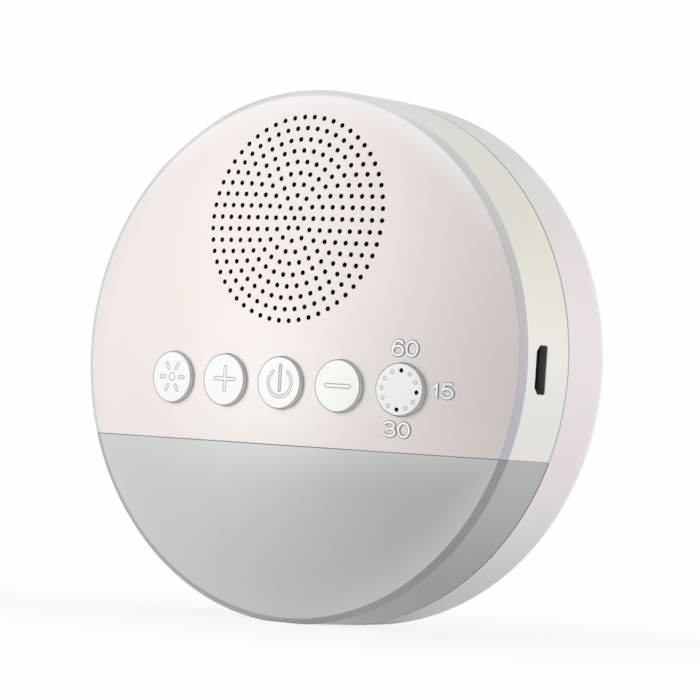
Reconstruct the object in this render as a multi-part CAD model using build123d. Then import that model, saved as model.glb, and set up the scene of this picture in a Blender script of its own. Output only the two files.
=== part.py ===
"""White noise sound machine with a night light: a drum standing on its side.

Every piece is drawn in the drum's own frame (millimetres): the origin is the apex of the domed face,
X points to the right as seen by the user, Y runs back through the drum and Z points up.
At the end everything moves to the stored frame, whose origin is the middle of the footprint.
"""
import os
from math import cos, pi, radians, sin, sqrt

from build123d import *

# ---------------------------------------------------------------- driving dimensions, mm
# Drum
SEAM_RADIUS = 48.25          # side wall at the seam between the halves, the widest place
FRONT_DRAFT = 0.25           # how much narrower the side wall is at its front edge
BACK_DRAFT = 0.15            # and where it turns into the back
DEPTH = 35.0                 # apex of the face to the back
SEAM_Y = 19.05
FACE_RISE = 4.8              # how far the dome falls back at its edge
RIM_BEVEL_WIDTH = 0.87       # bevel between dome and side wall
RIM_BEVEL_DEPTH = 1.19
BACK_ROUND = 5.4
WALL = 2.0
SEAM_BEVEL = 0.3             # on the back half, so the seam shows as a fine groove
LIP_LENGTH = 1.75            # tongue of the back half inside the front half
LIP_THICKNESS = 1.2
LIP_GAP = 0.15
STAND_DEPTH = 0.45           # depth of the narrow flat that it stands on
FIT_GAP = 0.1                # between fixed pieces that slip together

# Night light
SPLIT_Z = -16.1              # level where the white shell ends and the lens begins
LAP = 3.0                    # the lens tongue behind the shell
TRAY_TOP_Z = -14.2
TRAY_WALL = 1.2
TRAY_GAP = 0.3
LED_COUNT = 6
LED_PITCH = 9.0
LED_SIZE = 5.0
LED_HEIGHT = 1.6
LED_WINDOW_GAP = 0.3
LIGHT_Z = -26.5
LIGHT_BOARD_WIDTH = 62.0
LIGHT_BOARD_HEIGHT = 9.0
LIGHT_BOARD_THICKNESS = 1.2
LIGHT_SCREW_X = 28.0

# Speaker grille: one hole in the middle, then rings of 6, 12, 18 ... holes
GRILLE_Z = 24.47
GRILLE_RINGS = 9
GRILLE_PITCH = 2.05
GRILLE_HOLE = 0.88

# Push buttons
BUTTON_NAMES = ["light", "plus", "power", "minus", "timer"]
BUTTON_PITCH = 12.46
BUTTON_ROW_X = 0.37
BUTTON_ROW_Z = -5.05
CAP_RADIUS = 4.7
CAP_PROUD = 0.8
CAP_GAP = 0.15               # around the cap and around its flange
CAP_WALL = 1.2
FLANGE_WIDTH = 0.9
FLANGE_THICKNESS = 0.9
FLANGE_SEAT_Y = 5.2
SEAT_GAP = 0.05
KEY_WIDTH = 1.4
KEY_LENGTH = 1.0
GUIDE_WALL = 1.1
GUIDE_SPARE = 0.4            # depth of the guide beyond a pressed cap's flange
POST_RADIUS = 1.5
SWITCH_TRAVEL = 0.5

# Main board, parallel to the face
BOARD_Y = 11.8
BOARD_THICKNESS = 1.6
BOARD_X = 33.5
BOARD_BOTTOM = -13.0
BOARD_TOP = 7.5
BOARD_TAB_GAP = 0.7          # from the board's tab to the side wall
BOARD_TAB_HEIGHT = 11.5
SWITCH_BODY = 6.0
SWITCH_BODY_HEIGHT = 3.5
SWITCH_HEIGHT = 5.0
PLUNGER_RADIUS = 1.7
PLUNGER_GAP = 0.08
PLUNGER_DEPTH = 1.2
CHIPS = {                    # place on the back of the board, width, height, thickness
    "sound_chip": ((-1.0, -4.0), 10.3, 7.5, 2.0),
    "amplifier_chip": ((-8.0, 3.0), 4.9, 3.9, 1.5),
    "charger_chip": ((31.0, -1.0), 2.9, 1.6, 1.1),
    "memory_chip": ((12.0, -6.0), 5.2, 5.2, 1.8),
}
CAPACITOR_PLACE = (8.0, 3.0)
CAPACITOR_RADIUS = 2.5
CAPACITOR_HEIGHT = 6.0

# Micro USB socket in the right-hand side wall
USB_Z = -0.07
USB_WIDTH = 7.5
USB_HEIGHT = 2.6
USB_LENGTH = 5.6
USB_SHELL = 0.3
USB_RECESS = 1.2             # mouth of the socket behind the outer surface
USB_CORNER = 0.9
PORT_GAP = 0.45              # between the socket and the opening in the wall
TONGUE_WIDTH = 3.6
TONGUE_THICKNESS = 0.6
TONGUE_RECESS = 1.0

# Speaker, 40 mm
SPEAKER_RADIUS = 20.0
SPEAKER_FRONT_Y = 7.6        # front of the frame's flange
GASKET_THICKNESS = 0.8
GASKET_WIDTH = 2.0
SHEET = 0.8                  # pressed steel of the frame
BASKET_DEPTH = 7.4
BASKET_END_RADIUS = 12.5
SPIDER_RISE = 1.8            # in front of the basket's floor
SPIDER_GAP = 0.3
SPIDER_WAVES = 3
PLATE_RADIUS = 11.0
PLATE_THICKNESS = 1.5
MAGNET_RADIUS = 11.5
MAGNET_BORE = 8.0
MAGNET_THICKNESS = 3.5
YOKE_THICKNESS = 1.5
COIL_RADIUS = 6.2
COIL_THICKNESS = 0.6
COIL_OVERHANG = 0.4          # of the winding past the top plate, on both sides
MAGNETIC_GAP = 0.3           # on both sides of the coil
PAPER = 0.4
ROLL_WIDTH = 2.6
ROLL_RISE = 1.3
DUST_CAP_RISE = 2.0
SPEAKER_SCREW_GAP = 0.8      # between the flange and the screw heads beside it
SPEAKER_SCREW_ANGLES = [215, 325]
TAG_STRIP_WIDTH = 10.0
TAG_STRIP_HEIGHT = 3.8
TAG_DROP = 2.4               # solder tags below the magnet
TAG_X = -2.75
CLOTH_THICKNESS = 0.3
SPEAKER_GAP = 0.2            # round the speaker in its ring
LEDGE_WIDTH = 1.0
RING_THICKNESS = 1.2

# Battery
BATTERY_WIDTH = 50.0
BATTERY_HEIGHT = 34.0
BATTERY_THICKNESS = 8.0
BATTERY_Z = -10.0
BATTERY_ROUND = 2.4
FOAM_THICKNESS = 0.5
CRADLE_WALL = 1.2
CRADLE_HEIGHT = 3.5
CRADLE_GAP = 0.4

# Fasteners
CASE_SCREWS = [(-29.0, 25.5), (29.0, 25.5), (-37.5, -9.5), (37.5, -9.5)]
CASE_SCREW_RADIUS = 1.1
CASE_HEAD_RADIUS = 2.2
CASE_HEAD_HEIGHT = 1.8
CASE_HEAD_GAP = 0.3
CASE_BOSS_RADIUS = 2.8
CASE_COLUMN_RADIUS = 3.6
CASE_MEET_Y = 20.0
CASE_WEB = 2.0
CASE_SCREW_LENGTH = 9.0
BOARD_SCREWS = [(-29.0, 4.8), (29.0, 4.8)]
SMALL_SCREW_RADIUS = 0.9
SMALL_HEAD_RADIUS = 1.8
SMALL_HEAD_HEIGHT = 1.2
SMALL_SCREW_LENGTH = 5.0
SPEAKER_SCREW_LENGTH = 3.5
SMALL_BOSS_RADIUS = 2.0

# Wiring: flat two-core leads between plugs
LEAD_WIDTH = 2.4
LEAD_THICKNESS = 1.0
LEAD_BEND = 1.6
LEAD_RISE = 3.5              # straight out of a plug or a solder joint
CONNECTOR_WIDTH = 6.0
CONNECTOR_HEIGHT = 4.5       # off the board
CONNECTOR_DEPTH = 4.5
CONNECTORS = {"speaker": (-22.0, 2.5), "battery": (22.0, 2.5), "light": (-10.0, -9.5)}

# ---------------------------------------------------------------- worked out from them
RIM_RADIUS = SEAM_RADIUS - FRONT_DRAFT
BACK_RADIUS = SEAM_RADIUS - BACK_DRAFT
FACE_RADIUS = RIM_RADIUS - RIM_BEVEL_WIDTH
AXIS_HEIGHT = SEAM_RADIUS - STAND_DEPTH
RIM_Y = FACE_RISE + RIM_BEVEL_DEPTH
DOME_RADIUS = (FACE_RADIUS**2 + FACE_RISE**2) / (2 * FACE_RISE)
MIDDLE_Y = (DEPTH - CAP_PROUD) / 2
INNER_BACK_Y = DEPTH - WALL
LIP_Y = SEAM_Y - LIP_LENGTH
LIP_RADIUS = SEAM_RADIUS - WALL - LIP_GAP
TRAY_RADIUS = RIM_RADIUS - WALL - TRAY_GAP
LIGHT_BOARD_Y = LIP_Y
BOARD_BACK_Y = BOARD_Y + BOARD_THICKNESS
SWITCH_FRONT_Y = BOARD_Y - SWITCH_BODY_HEIGHT
PLUNGER_TIP_Y = BOARD_Y - SWITCH_HEIGHT
USB_Y = BOARD_Y - USB_HEIGHT / 2
USB_MOUTH_X = RIM_RADIUS - USB_RECESS
BOARD_TAB_X = RIM_RADIUS - WALL - BOARD_TAB_GAP
FLANGE_RADIUS = CAP_RADIUS + FLANGE_WIDTH
KEY_RADIUS = FLANGE_RADIUS + KEY_LENGTH
GUIDE_RADIUS = FLANGE_RADIUS + CAP_GAP + GUIDE_WALL
GUIDE_END_Y = FLANGE_SEAT_Y + FLANGE_THICKNESS + SWITCH_TRAVEL + GUIDE_SPARE
BUTTONS = {
    name: (BUTTON_ROW_X + BUTTON_PITCH * (i - 2), BUTTON_ROW_Z) for i, name in enumerate(BUTTON_NAMES)
}
HALF_PITCH = BUTTON_PITCH / 2
POST_SCREWS = [
    (BUTTONS["light"][0] + HALF_PITCH, BUTTON_ROW_Z - FLANGE_RADIUS - CAP_GAP),
    (BUTTONS["timer"][0] - HALF_PITCH, BUTTON_ROW_Z - FLANGE_RADIUS - CAP_GAP),
]
BASKET_END_Y = SPEAKER_FRONT_Y + BASKET_DEPTH
SPIDER_Y = BASKET_END_Y - SPIDER_RISE
PLATE_Y = BASKET_END_Y + SHEET
MAGNET_Y = PLATE_Y + PLATE_THICKNESS
CONE_NECK_Y = SPIDER_Y - SPIDER_RISE / 2
COIL_FRONT_Y = CONE_NECK_Y - PAPER
POLE_RADIUS = COIL_RADIUS - MAGNETIC_GAP
FORMER_RADIUS = COIL_RADIUS + COIL_THICKNESS / 3
FLANGE_INNER = SPEAKER_RADIUS - GASKET_WIDTH
LEDGE_RADIUS = SPEAKER_RADIUS - LEDGE_WIDTH
CONE_RADIUS = FLANGE_INNER - ROLL_WIDTH - PAPER
SPEAKER_SCREW_RING = SPEAKER_RADIUS + SMALL_HEAD_RADIUS + SPEAKER_SCREW_GAP
SPEAKER = (0, GRILLE_Z)
YOKE_Y = MAGNET_Y + MAGNET_THICKNESS
BATTERY_BACK_Y = INNER_BACK_Y - FOAM_THICKNESS
BATTERY_FRONT_Y = BATTERY_BACK_Y - BATTERY_THICKNESS
CASE_HEAD_Y = CASE_MEET_Y + FIT_GAP + CASE_WEB
FAR = 60.0                   # larger than the drum, for cutting


# ---------------------------------------------------------------- shared shapes
def rod(place, radius, front, back):
    """Round bar along Y at place (x, z)."""
    x, z = place
    return Pos(x, (front + back) / 2, z) * Rot(90, 0, 0) * Cylinder(radius, back - front)


def tube(place, outer, inner, front, back):
    return rod(place, outer, front, back) - rod(place, inner, front, back)


def block(x, y, z):
    """Box between the given pairs of limits."""
    return Pos(sum(x) / 2, sum(y) / 2, sum(z) / 2) * Box(x[1] - x[0], y[1] - y[0], z[1] - z[0])


def turned(points, place=(0, 0)):
    """Solid of revolution about the line along Y through place; points are (radius, y)."""
    profile = make_face(Polyline(*points, close=True))
    return Pos(place[0], 0, place[1]) * revolve(profile, Axis.Y)


def small_screw(place, head_y, length=SMALL_SCREW_LENGTH):
    """Pan-head screw driven forwards from the back; head_y is the underside of its head."""
    head = rod(place, SMALL_HEAD_RADIUS, head_y, head_y + SMALL_HEAD_HEIGHT)
    return head + rod(place, SMALL_SCREW_RADIUS, head_y - length, head_y)


def case_screw(place):
    head = rod(place, CASE_HEAD_RADIUS, CASE_HEAD_Y, CASE_HEAD_Y + CASE_HEAD_HEIGHT)
    return head + rod(place, CASE_SCREW_RADIUS, CASE_HEAD_Y - CASE_SCREW_LENGTH, CASE_HEAD_Y)


def dome_y(radius, inset=0.0):
    """Depth of the spherical face at this radius, `inset` behind its outer surface."""
    return inset + DOME_RADIUS - sqrt(DOME_RADIUS**2 - radius**2)


def dome_ball(inset, place=(0, 0), radius=DOME_RADIUS):
    """Ball whose front lies at depth `inset` on the line along Y through place."""
    return Pos(place[0], inset + radius, place[1]) * Sphere(radius)


def front_bowl(inset):
    """The front half as a full body, everywhere `inset` inside the outer surface, flat at the seam."""
    face = FACE_RADIUS - inset
    face_y = dome_y(face, inset)
    dome = ThreePointArc((0, inset), (face / 2, dome_y(face / 2, inset)), (face, face_y))
    rim = (RIM_RADIUS - inset, face_y + RIM_BEVEL_DEPTH)
    rest = Polyline((face, face_y), rim, (SEAM_RADIUS - inset, SEAM_Y), (0, SEAM_Y), (0, inset))
    return revolve(make_face(dome + rest), Axis.Y)


def back_body():
    """The back half as a full body, with its rounded edge and the bevel that makes the seam."""
    knee = BACK_ROUND * (1 - sqrt(0.5))
    top = DEPTH - BACK_ROUND
    bevel = [(SEAM_RADIUS - SEAM_BEVEL, SEAM_Y), (SEAM_RADIUS, SEAM_Y + SEAM_BEVEL)]
    wall = Polyline((0, SEAM_Y), *bevel, (BACK_RADIUS, top))
    flat = BACK_RADIUS - BACK_ROUND
    edge = ThreePointArc((BACK_RADIUS, top), (BACK_RADIUS - knee, DEPTH - knee), (flat, DEPTH))
    end = Polyline((flat, DEPTH), (0, DEPTH), (0, SEAM_Y))
    return revolve(make_face(wall + edge + end), Axis.Y)


def back_hollow():
    """The space inside the back half; its corner is cut straight."""
    side = BACK_RADIUS - WALL
    corner = BACK_ROUND - WALL
    return turned(
        [
            (0, SEAM_Y),
            (SEAM_RADIUS - WALL, SEAM_Y),
            (side, INNER_BACK_Y - corner),
            (side - corner, INNER_BACK_Y),
            (0, INNER_BACK_Y),
        ]
    )


def level(bottom, top):
    """Slab between two levels, for keeping a part of the drum."""
    return block((-FAR, FAR), (-FAR, FAR), (bottom, top))


def stand_flat():
    """What is cut away below the drum so that it stands without rolling."""
    return level(-FAR, -AXIS_HEIGHT)


def led_places():
    first = -(LED_COUNT - 1) / 2
    return [((first + i) * LED_PITCH, LIGHT_Z) for i in range(LED_COUNT)]


def speaker_screw_places():
    return [
        (SPEAKER_SCREW_RING * cos(radians(a)), GRILLE_Z + SPEAKER_SCREW_RING * sin(radians(a)))
        for a in SPEAKER_SCREW_ANGLES
    ]


def usb_outline(grow):
    """Outline of the socket in YZ, larger by `grow` on every side; its bevels face the front."""
    front = USB_Y - USB_HEIGHT / 2 - grow
    back = USB_Y + USB_HEIGHT / 2 + grow
    half = USB_WIDTH / 2 + grow
    low, high = USB_Z - half, USB_Z + half
    corner = USB_CORNER + grow / 2
    return [
        (front, low + corner),
        (front, high - corner),
        (front + corner, high),
        (back, high),
        (back, low),
        (front + corner, low),
    ]


def usb_prism(grow, start, end):
    face = make_face(Plane.YZ * Polyline(*usb_outline(grow), close=True))
    return extrude(Pos(start, 0, 0) * face, amount=end - start, dir=(1, 0, 0))


# ---------------------------------------------------------------- casing
def grille_holes():
    """Holes on rings of 6, 12, 18 ... places, each drawn with six sides of the round hole's area."""
    places = [(0, GRILLE_Z)]
    for ring in range(1, GRILLE_RINGS + 1):
        for i in range(6 * ring):
            turn = 2 * pi * i / (6 * ring)
            radius = ring * GRILLE_PITCH
            places.append((radius * cos(turn), GRILLE_Z + radius * sin(turn)))
    corner = GRILLE_HOLE / 2 * sqrt(pi / (6 * sin(radians(60)) / 2))
    holes = Sketch() + [Plane.XZ * Pos(x, z) * RegularPolygon(corner, 6) for x, z in places]
    return extrude(Pos(0, -WALL, 0) * holes, amount=RIM_Y + 2 * WALL, dir=(0, 1, 0))


def button_cuts(place):
    """Bore for a cap, wider bore for its flange and slot for its key."""
    x, z = place
    bore = rod(place, CAP_RADIUS + CAP_GAP, -FAR, FLANGE_SEAT_Y)
    seat = rod(place, FLANGE_RADIUS + CAP_GAP, FLANGE_SEAT_Y, GUIDE_END_Y)
    half = KEY_WIDTH / 2 + FIT_GAP
    slot = block((x - half, x + half), (FLANGE_SEAT_Y, GUIDE_END_Y), (z - GUIDE_RADIUS - GUIDE_WALL, z))
    return bore + seat + slot


def speaker_seat():
    """Ring round the speaker with a ledge under its gasket and two screw bosses."""
    seat_y = SPEAKER_FRONT_Y - GASKET_THICKNESS
    ring = SPEAKER_RADIUS + SPEAKER_GAP
    seat = rod(SPEAKER, ring + RING_THICKNESS, 0, SPEAKER_FRONT_Y + SHEET)
    for place in speaker_screw_places():
        seat += rod(place, SMALL_BOSS_RADIUS, 0, SPEAKER_FRONT_Y + SHEET)
    seat -= rod(SPEAKER, ring, seat_y, FAR) + rod(SPEAKER, LEDGE_RADIUS, -FAR, FAR)
    return seat


def front_shell():
    """White upper front: domed face with its grille, side wall, button guides and screw bosses."""
    shell = (front_bowl(0) - front_bowl(WALL)) & level(SPLIT_Z, FAR)
    shell -= front_bowl(WALL / 2) & level(-FAR, SPLIT_Z + LAP)

    inside = speaker_seat()
    for place in BUTTONS.values():
        inside += rod(place, GUIDE_RADIUS, 0, GUIDE_END_Y)
    for place in BOARD_SCREWS + POST_SCREWS:
        inside += rod(place, SMALL_BOSS_RADIUS, 0, BOARD_Y)
    for place in CASE_SCREWS:
        inside += rod(place, CASE_BOSS_RADIUS, 0, CASE_MEET_Y)
    shell += inside & front_bowl_reach(WALL / 2)

    for place in BUTTONS.values():
        shell -= button_cuts(place)
    for place in speaker_screw_places():
        shell -= rod(place, SMALL_SCREW_RADIUS, SPEAKER_FRONT_Y + SHEET - SPEAKER_SCREW_LENGTH, FAR)
    for place in BOARD_SCREWS + POST_SCREWS:
        shell -= rod(place, SMALL_SCREW_RADIUS, BOARD_BACK_Y - SMALL_SCREW_LENGTH, FAR)
    for place in CASE_SCREWS:
        shell -= rod(place, CASE_SCREW_RADIUS, CASE_HEAD_Y - CASE_SCREW_LENGTH, FAR)
    shell -= usb_prism(PORT_GAP, USB_MOUTH_X - WALL, FAR)
    return shell - grille_holes()


def front_bowl_reach(inset):
    """The front bowl carried on past the seam, for posts that reach into the back half."""
    return front_bowl(inset) + rod((0, 0), LIP_RADIUS - LIP_THICKNESS, LIP_Y, CASE_MEET_Y)


def night_light_lens():
    """Translucent lower front with a tongue that laps behind the white shell."""
    lens = (front_bowl(0) - front_bowl(WALL)) & level(-FAR, SPLIT_Z - FIT_GAP)
    lap = front_bowl(WALL / 2 + FIT_GAP) - front_bowl(WALL)
    lens += lap & level(-FAR, SPLIT_Z + LAP - FIT_GAP)
    return lens - stand_flat()


def back_shell():
    """White back with a tongue into the front half, screw columns and a cradle for the battery."""
    shell = back_body() - back_hollow()
    lip_inner = LIP_RADIUS - LIP_THICKNESS
    shell += tube((0, 0), LIP_RADIUS, lip_inner, LIP_Y, SEAM_Y)
    shell += tube((0, 0), SEAM_RADIUS - WALL + FIT_GAP, lip_inner, SEAM_Y, SEAM_Y + LIP_THICKNESS)

    half_x = BATTERY_WIDTH / 2 + CRADLE_GAP
    half_z = BATTERY_HEIGHT / 2 + CRADLE_GAP
    depth = (INNER_BACK_Y - CRADLE_HEIGHT, INNER_BACK_Y + WALL / 2)
    around = block(
        (-half_x - CRADLE_WALL, half_x + CRADLE_WALL),
        depth,
        (BATTERY_Z - half_z - CRADLE_WALL, BATTERY_Z + half_z + CRADLE_WALL),
    )
    gaps = block((-half_x / 2, half_x / 2), depth, (-FAR, FAR)) + block(
        (-FAR, FAR), depth, (BATTERY_Z - half_z / 2, BATTERY_Z + half_z / 2)
    )
    shell += around - block((-half_x, half_x), depth, (BATTERY_Z - half_z, BATTERY_Z + half_z)) - gaps

    for place in CASE_SCREWS:
        shell += rod(place, CASE_COLUMN_RADIUS, CASE_MEET_Y + FIT_GAP, INNER_BACK_Y + WALL / 2)
    for place in CASE_SCREWS:
        shell -= rod(place, CASE_SCREW_RADIUS + FIT_GAP, CASE_MEET_Y, CASE_HEAD_Y)
        shell -= rod(place, CASE_HEAD_RADIUS + CASE_HEAD_GAP, CASE_HEAD_Y, FAR)
    return shell - stand_flat()


# ---------------------------------------------------------------- buttons and switches
def button_cap(place):
    """Hollow cap whose face follows the dome, with a flange, a key and a post for the switch."""
    x, z = place
    flange_y = FLANGE_SEAT_Y + SEAT_GAP
    head = rod(place, CAP_RADIUS, -WALL, flange_y) & dome_ball(-CAP_PROUD)
    thick = (flange_y, flange_y + FLANGE_THICKNESS)
    flange = rod(place, FLANGE_RADIUS, *thick)
    half = KEY_WIDTH / 2
    key = block((x - half, x + half), thick, (z - KEY_RADIUS, z - CAP_RADIUS))
    hollow_y = dome_y(sqrt(x * x + z * z)) + CAP_WALL
    cap = head + flange + key - rod(place, CAP_RADIUS - CAP_WALL, hollow_y, FAR)
    return cap + rod(place, POST_RADIUS, hollow_y, PLUNGER_TIP_Y)


def switch_plunger(place):
    return rod(place, PLUNGER_RADIUS, PLUNGER_TIP_Y, SWITCH_FRONT_Y + PLUNGER_DEPTH)


def switch_body(place):
    x, z = place
    half = SWITCH_BODY / 2
    body = block((x - half, x + half), (SWITCH_FRONT_Y, BOARD_Y), (z - half, z + half))
    depth = SWITCH_FRONT_Y + PLUNGER_DEPTH + SWITCH_TRAVEL + SEAT_GAP
    return body - rod(place, PLUNGER_RADIUS + PLUNGER_GAP, SWITCH_FRONT_Y, depth)


# ---------------------------------------------------------------- electronics
def main_board():
    thick = (BOARD_Y, BOARD_BACK_Y)
    board = block((-BOARD_X, BOARD_X), thick, (BOARD_BOTTOM, BOARD_TOP))
    half = BOARD_TAB_HEIGHT / 2
    board += block((0, BOARD_TAB_X), thick, (USB_Z - half, USB_Z + half))
    for place in BOARD_SCREWS + POST_SCREWS:
        board -= rod(place, SMALL_SCREW_RADIUS + FIT_GAP, BOARD_Y, BOARD_BACK_Y)
    return board


def usb_socket():
    """Folded steel shell of the socket, closed at its inner end."""
    inner = USB_MOUTH_X - USB_LENGTH
    return usb_prism(0, inner, USB_MOUTH_X) - usb_prism(-USB_SHELL, inner + USB_SHELL, FAR)


def usb_tongue():
    start = USB_MOUTH_X - USB_LENGTH + USB_SHELL
    half_y = TONGUE_THICKNESS / 2
    half_z = TONGUE_WIDTH / 2
    end = USB_MOUTH_X - TONGUE_RECESS
    return block((start, end), (USB_Y - half_y, USB_Y + half_y), (USB_Z - half_z, USB_Z + half_z))


def chip(place, width, height, thickness):
    """Moulded chip on the back of the main board."""
    x, z = place
    half_x, half_z = width / 2, height / 2
    depth = (BOARD_BACK_Y, BOARD_BACK_Y + thickness)
    return block((x - half_x, x + half_x), depth, (z - half_z, z + half_z))


def connector(place):
    return chip(place, CONNECTOR_WIDTH, CONNECTOR_DEPTH, CONNECTOR_HEIGHT)


def capacitor():
    """Electrolytic can standing on the board."""
    return rod(CAPACITOR_PLACE, CAPACITOR_RADIUS, BOARD_BACK_Y, BOARD_BACK_Y + CAPACITOR_HEIGHT)


# ---------------------------------------------------------------- night light
def light_tray():
    """White D-shaped reflector behind the lens, with a shelf that shades the upper half."""
    floor = rod((0, 0), TRAY_RADIUS, LIP_Y - TRAY_WALL, LIP_Y) & level(-FAR, TRAY_TOP_Z)
    shelf = front_bowl(WALL + CAP_GAP) & level(TRAY_TOP_Z - TRAY_WALL, TRAY_TOP_Z)
    shelf &= block((-TRAY_RADIUS, TRAY_RADIUS), (0, LIP_Y), (-FAR, FAR))
    tray = floor + shelf
    for place in light_screw_places():
        tray += rod(place, SMALL_BOSS_RADIUS, LIP_Y - SMALL_SCREW_LENGTH, LIP_Y)
    for place in light_screw_places():
        tray -= rod(place, SMALL_SCREW_RADIUS, LIP_Y - SMALL_SCREW_LENGTH + LIGHT_BOARD_THICKNESS, LIP_Y)
    half = LED_SIZE / 2 + LED_WINDOW_GAP
    for x, z in led_places():
        tray -= block((x - half, x + half), (LIP_Y - TRAY_WALL, LIP_Y), (z - half, z + half))
    return tray - level(-FAR, -AXIS_HEIGHT + WALL + CAP_GAP)


def light_screw_places():
    return [(-LIGHT_SCREW_X, LIGHT_Z), (LIGHT_SCREW_X, LIGHT_Z)]


def light_board():
    half_x, half_z = LIGHT_BOARD_WIDTH / 2, LIGHT_BOARD_HEIGHT / 2
    thick = (LIGHT_BOARD_Y, LIGHT_BOARD_Y + LIGHT_BOARD_THICKNESS)
    board = block((-half_x, half_x), thick, (LIGHT_Z - half_z, LIGHT_Z + half_z))
    for place in light_screw_places():
        board -= rod(place, SMALL_SCREW_RADIUS + FIT_GAP, *thick)
    return board


def light_led(place):
    x, z = place
    half = LED_SIZE / 2
    return block((x - half, x + half), (LIGHT_BOARD_Y - LED_HEIGHT, LIGHT_BOARD_Y), (z - half, z + half))


# ---------------------------------------------------------------- speaker
def speaker_cloth():
    """Black acoustic cloth bonded behind the grille, curved like the face."""
    disc = rod(SPEAKER, LEDGE_RADIUS - FIT_GAP, 0, SPEAKER_FRONT_Y)
    return (disc & dome_ball(WALL)) - dome_ball(WALL + CLOTH_THICKNESS)


def speaker_frame():
    """Pressed steel frame: flange, tapering basket with four windows, and a floor for the magnet."""
    front, end = SPEAKER_FRONT_Y, BASKET_END_Y
    profile = [
        (FLANGE_INNER, front),
        (SPEAKER_RADIUS, front),
        (SPEAKER_RADIUS, front + SHEET),
        (FLANGE_INNER + SHEET, front + SHEET),
        (BASKET_END_RADIUS + SHEET, end + SHEET),
        (COIL_RADIUS + 2 * COIL_THICKNESS, end + SHEET),
        (COIL_RADIUS + 2 * COIL_THICKNESS, end),
        (BASKET_END_RADIUS, end),
        (FLANGE_INNER, front + SHEET),
    ]
    frame = turned(profile, SPEAKER)
    half = BASKET_END_RADIUS / 2
    window = block((-FAR, FAR), (front + 2 * SHEET, end - SPIDER_RISE), (-half, half))
    for turn in (45, 135):
        frame -= Pos(0, 0, GRILLE_Z) * Rot(0, turn, 0) * window
    return frame


def speaker_gasket():
    front = SPEAKER_FRONT_Y - GASKET_THICKNESS
    return tube(SPEAKER, SPEAKER_RADIUS, FLANGE_INNER, front, SPEAKER_FRONT_Y)


def speaker_top_plate():
    return tube(SPEAKER, PLATE_RADIUS, COIL_RADIUS + COIL_THICKNESS + MAGNETIC_GAP, PLATE_Y, MAGNET_Y)


def speaker_magnet():
    return tube(SPEAKER, MAGNET_RADIUS, MAGNET_BORE, MAGNET_Y, YOKE_Y)


def speaker_yoke():
    """Back plate and pole in one turned piece."""
    plate = rod(SPEAKER, PLATE_RADIUS, YOKE_Y, YOKE_Y + YOKE_THICKNESS)
    return plate + rod(SPEAKER, POLE_RADIUS, PLATE_Y, YOKE_Y)


def speaker_cone():
    """Paper cone from the surround down to the voice coil."""
    lip = SPEAKER_FRONT_Y + SHEET
    neck = FORMER_RADIUS
    return turned(
        [
            (CONE_RADIUS, lip),
            (CONE_RADIUS + PAPER, lip + PAPER),
            (neck + PAPER, CONE_NECK_Y + PAPER),
            (neck, CONE_NECK_Y + PAPER),
            (neck, CONE_NECK_Y - PAPER),
        ],
        SPEAKER,
    )


def speaker_dust_cap():
    """Domed cap over the voice coil."""
    ball = (FORMER_RADIUS**2 + DUST_CAP_RISE**2) / (2 * DUST_CAP_RISE)
    top = COIL_FRONT_Y - DUST_CAP_RISE
    disc = rod(SPEAKER, FORMER_RADIUS, top - PAPER, COIL_FRONT_Y)
    return (disc & dome_ball(top, SPEAKER, ball)) - dome_ball(top + PAPER, SPEAKER, ball)


def voice_coil():
    """Former with the winding in the magnetic gap."""
    inner = COIL_RADIUS
    former = FORMER_RADIUS
    outer = COIL_RADIUS + COIL_THICKNESS
    winding = (PLATE_Y - COIL_OVERHANG, MAGNET_Y + COIL_OVERHANG)
    return turned(
        [
            (inner, COIL_FRONT_Y),
            (former, COIL_FRONT_Y),
            (former, winding[0]),
            (outer, winding[0]),
            (outer, winding[1]),
            (inner, winding[1]),
        ],
        SPEAKER,
    )


def speaker_surround():
    """Rubber roll between the cone and the frame's flange, drawn with straight sides."""
    inner = CONE_RADIUS + PAPER
    outer = FLANGE_INNER
    middle = (inner + outer) / 2
    y = SPEAKER_FRONT_Y + SHEET
    back = [(inner, y), (middle, y - ROLL_RISE), (outer, y)]
    front = [(radius, depth - PAPER) for radius, depth in reversed(back)]
    return turned(back + front, SPEAKER)


def speaker_spider():
    """Corrugated disc that centres the voice coil."""
    slope = (FLANGE_INNER - BASKET_END_RADIUS) / (BASKET_DEPTH - SHEET)
    outer = BASKET_END_RADIUS + slope * (SPIDER_RISE - 2 * PAPER) - SPIDER_GAP
    radii = [FORMER_RADIUS + (outer - FORMER_RADIUS) * i / SPIDER_WAVES for i in range(SPIDER_WAVES + 1)]
    front = [(r, SPIDER_Y + PAPER * (i % 2)) for i, r in enumerate(radii)]
    back = [(r, y + PAPER) for r, y in reversed(front)]
    return turned(front + back, SPEAKER)


def speaker_terminals():
    """Small insulating strip with the solder tags, on the floor of the frame below the magnet."""
    top = GRILLE_Z - MAGNET_RADIUS - FIT_GAP
    half = TAG_STRIP_WIDTH / 2
    return block((-half, half), (PLATE_Y, PLATE_Y + SHEET), (top - TAG_STRIP_HEIGHT, top))


# ---------------------------------------------------------------- battery and wiring
def battery_cell():
    """Flat pouch cell with rounded long edges."""
    half_x, half_z = BATTERY_WIDTH / 2, BATTERY_HEIGHT / 2
    thick = (BATTERY_FRONT_Y, BATTERY_BACK_Y)
    cell = block((-half_x, half_x), thick, (BATTERY_Z - half_z, BATTERY_Z + half_z))
    return fillet(cell.edges().filter_by(Axis.Z), BATTERY_ROUND)


def battery_foam():
    """Double-sided tape between the cell and the back."""
    half_x = BATTERY_WIDTH / 2 - BATTERY_ROUND
    half_z = BATTERY_HEIGHT / 2 - BATTERY_ROUND
    thick = (BATTERY_BACK_Y, INNER_BACK_Y)
    return block((-half_x, half_x), thick, (BATTERY_Z - half_z, BATTERY_Z + half_z))


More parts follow.
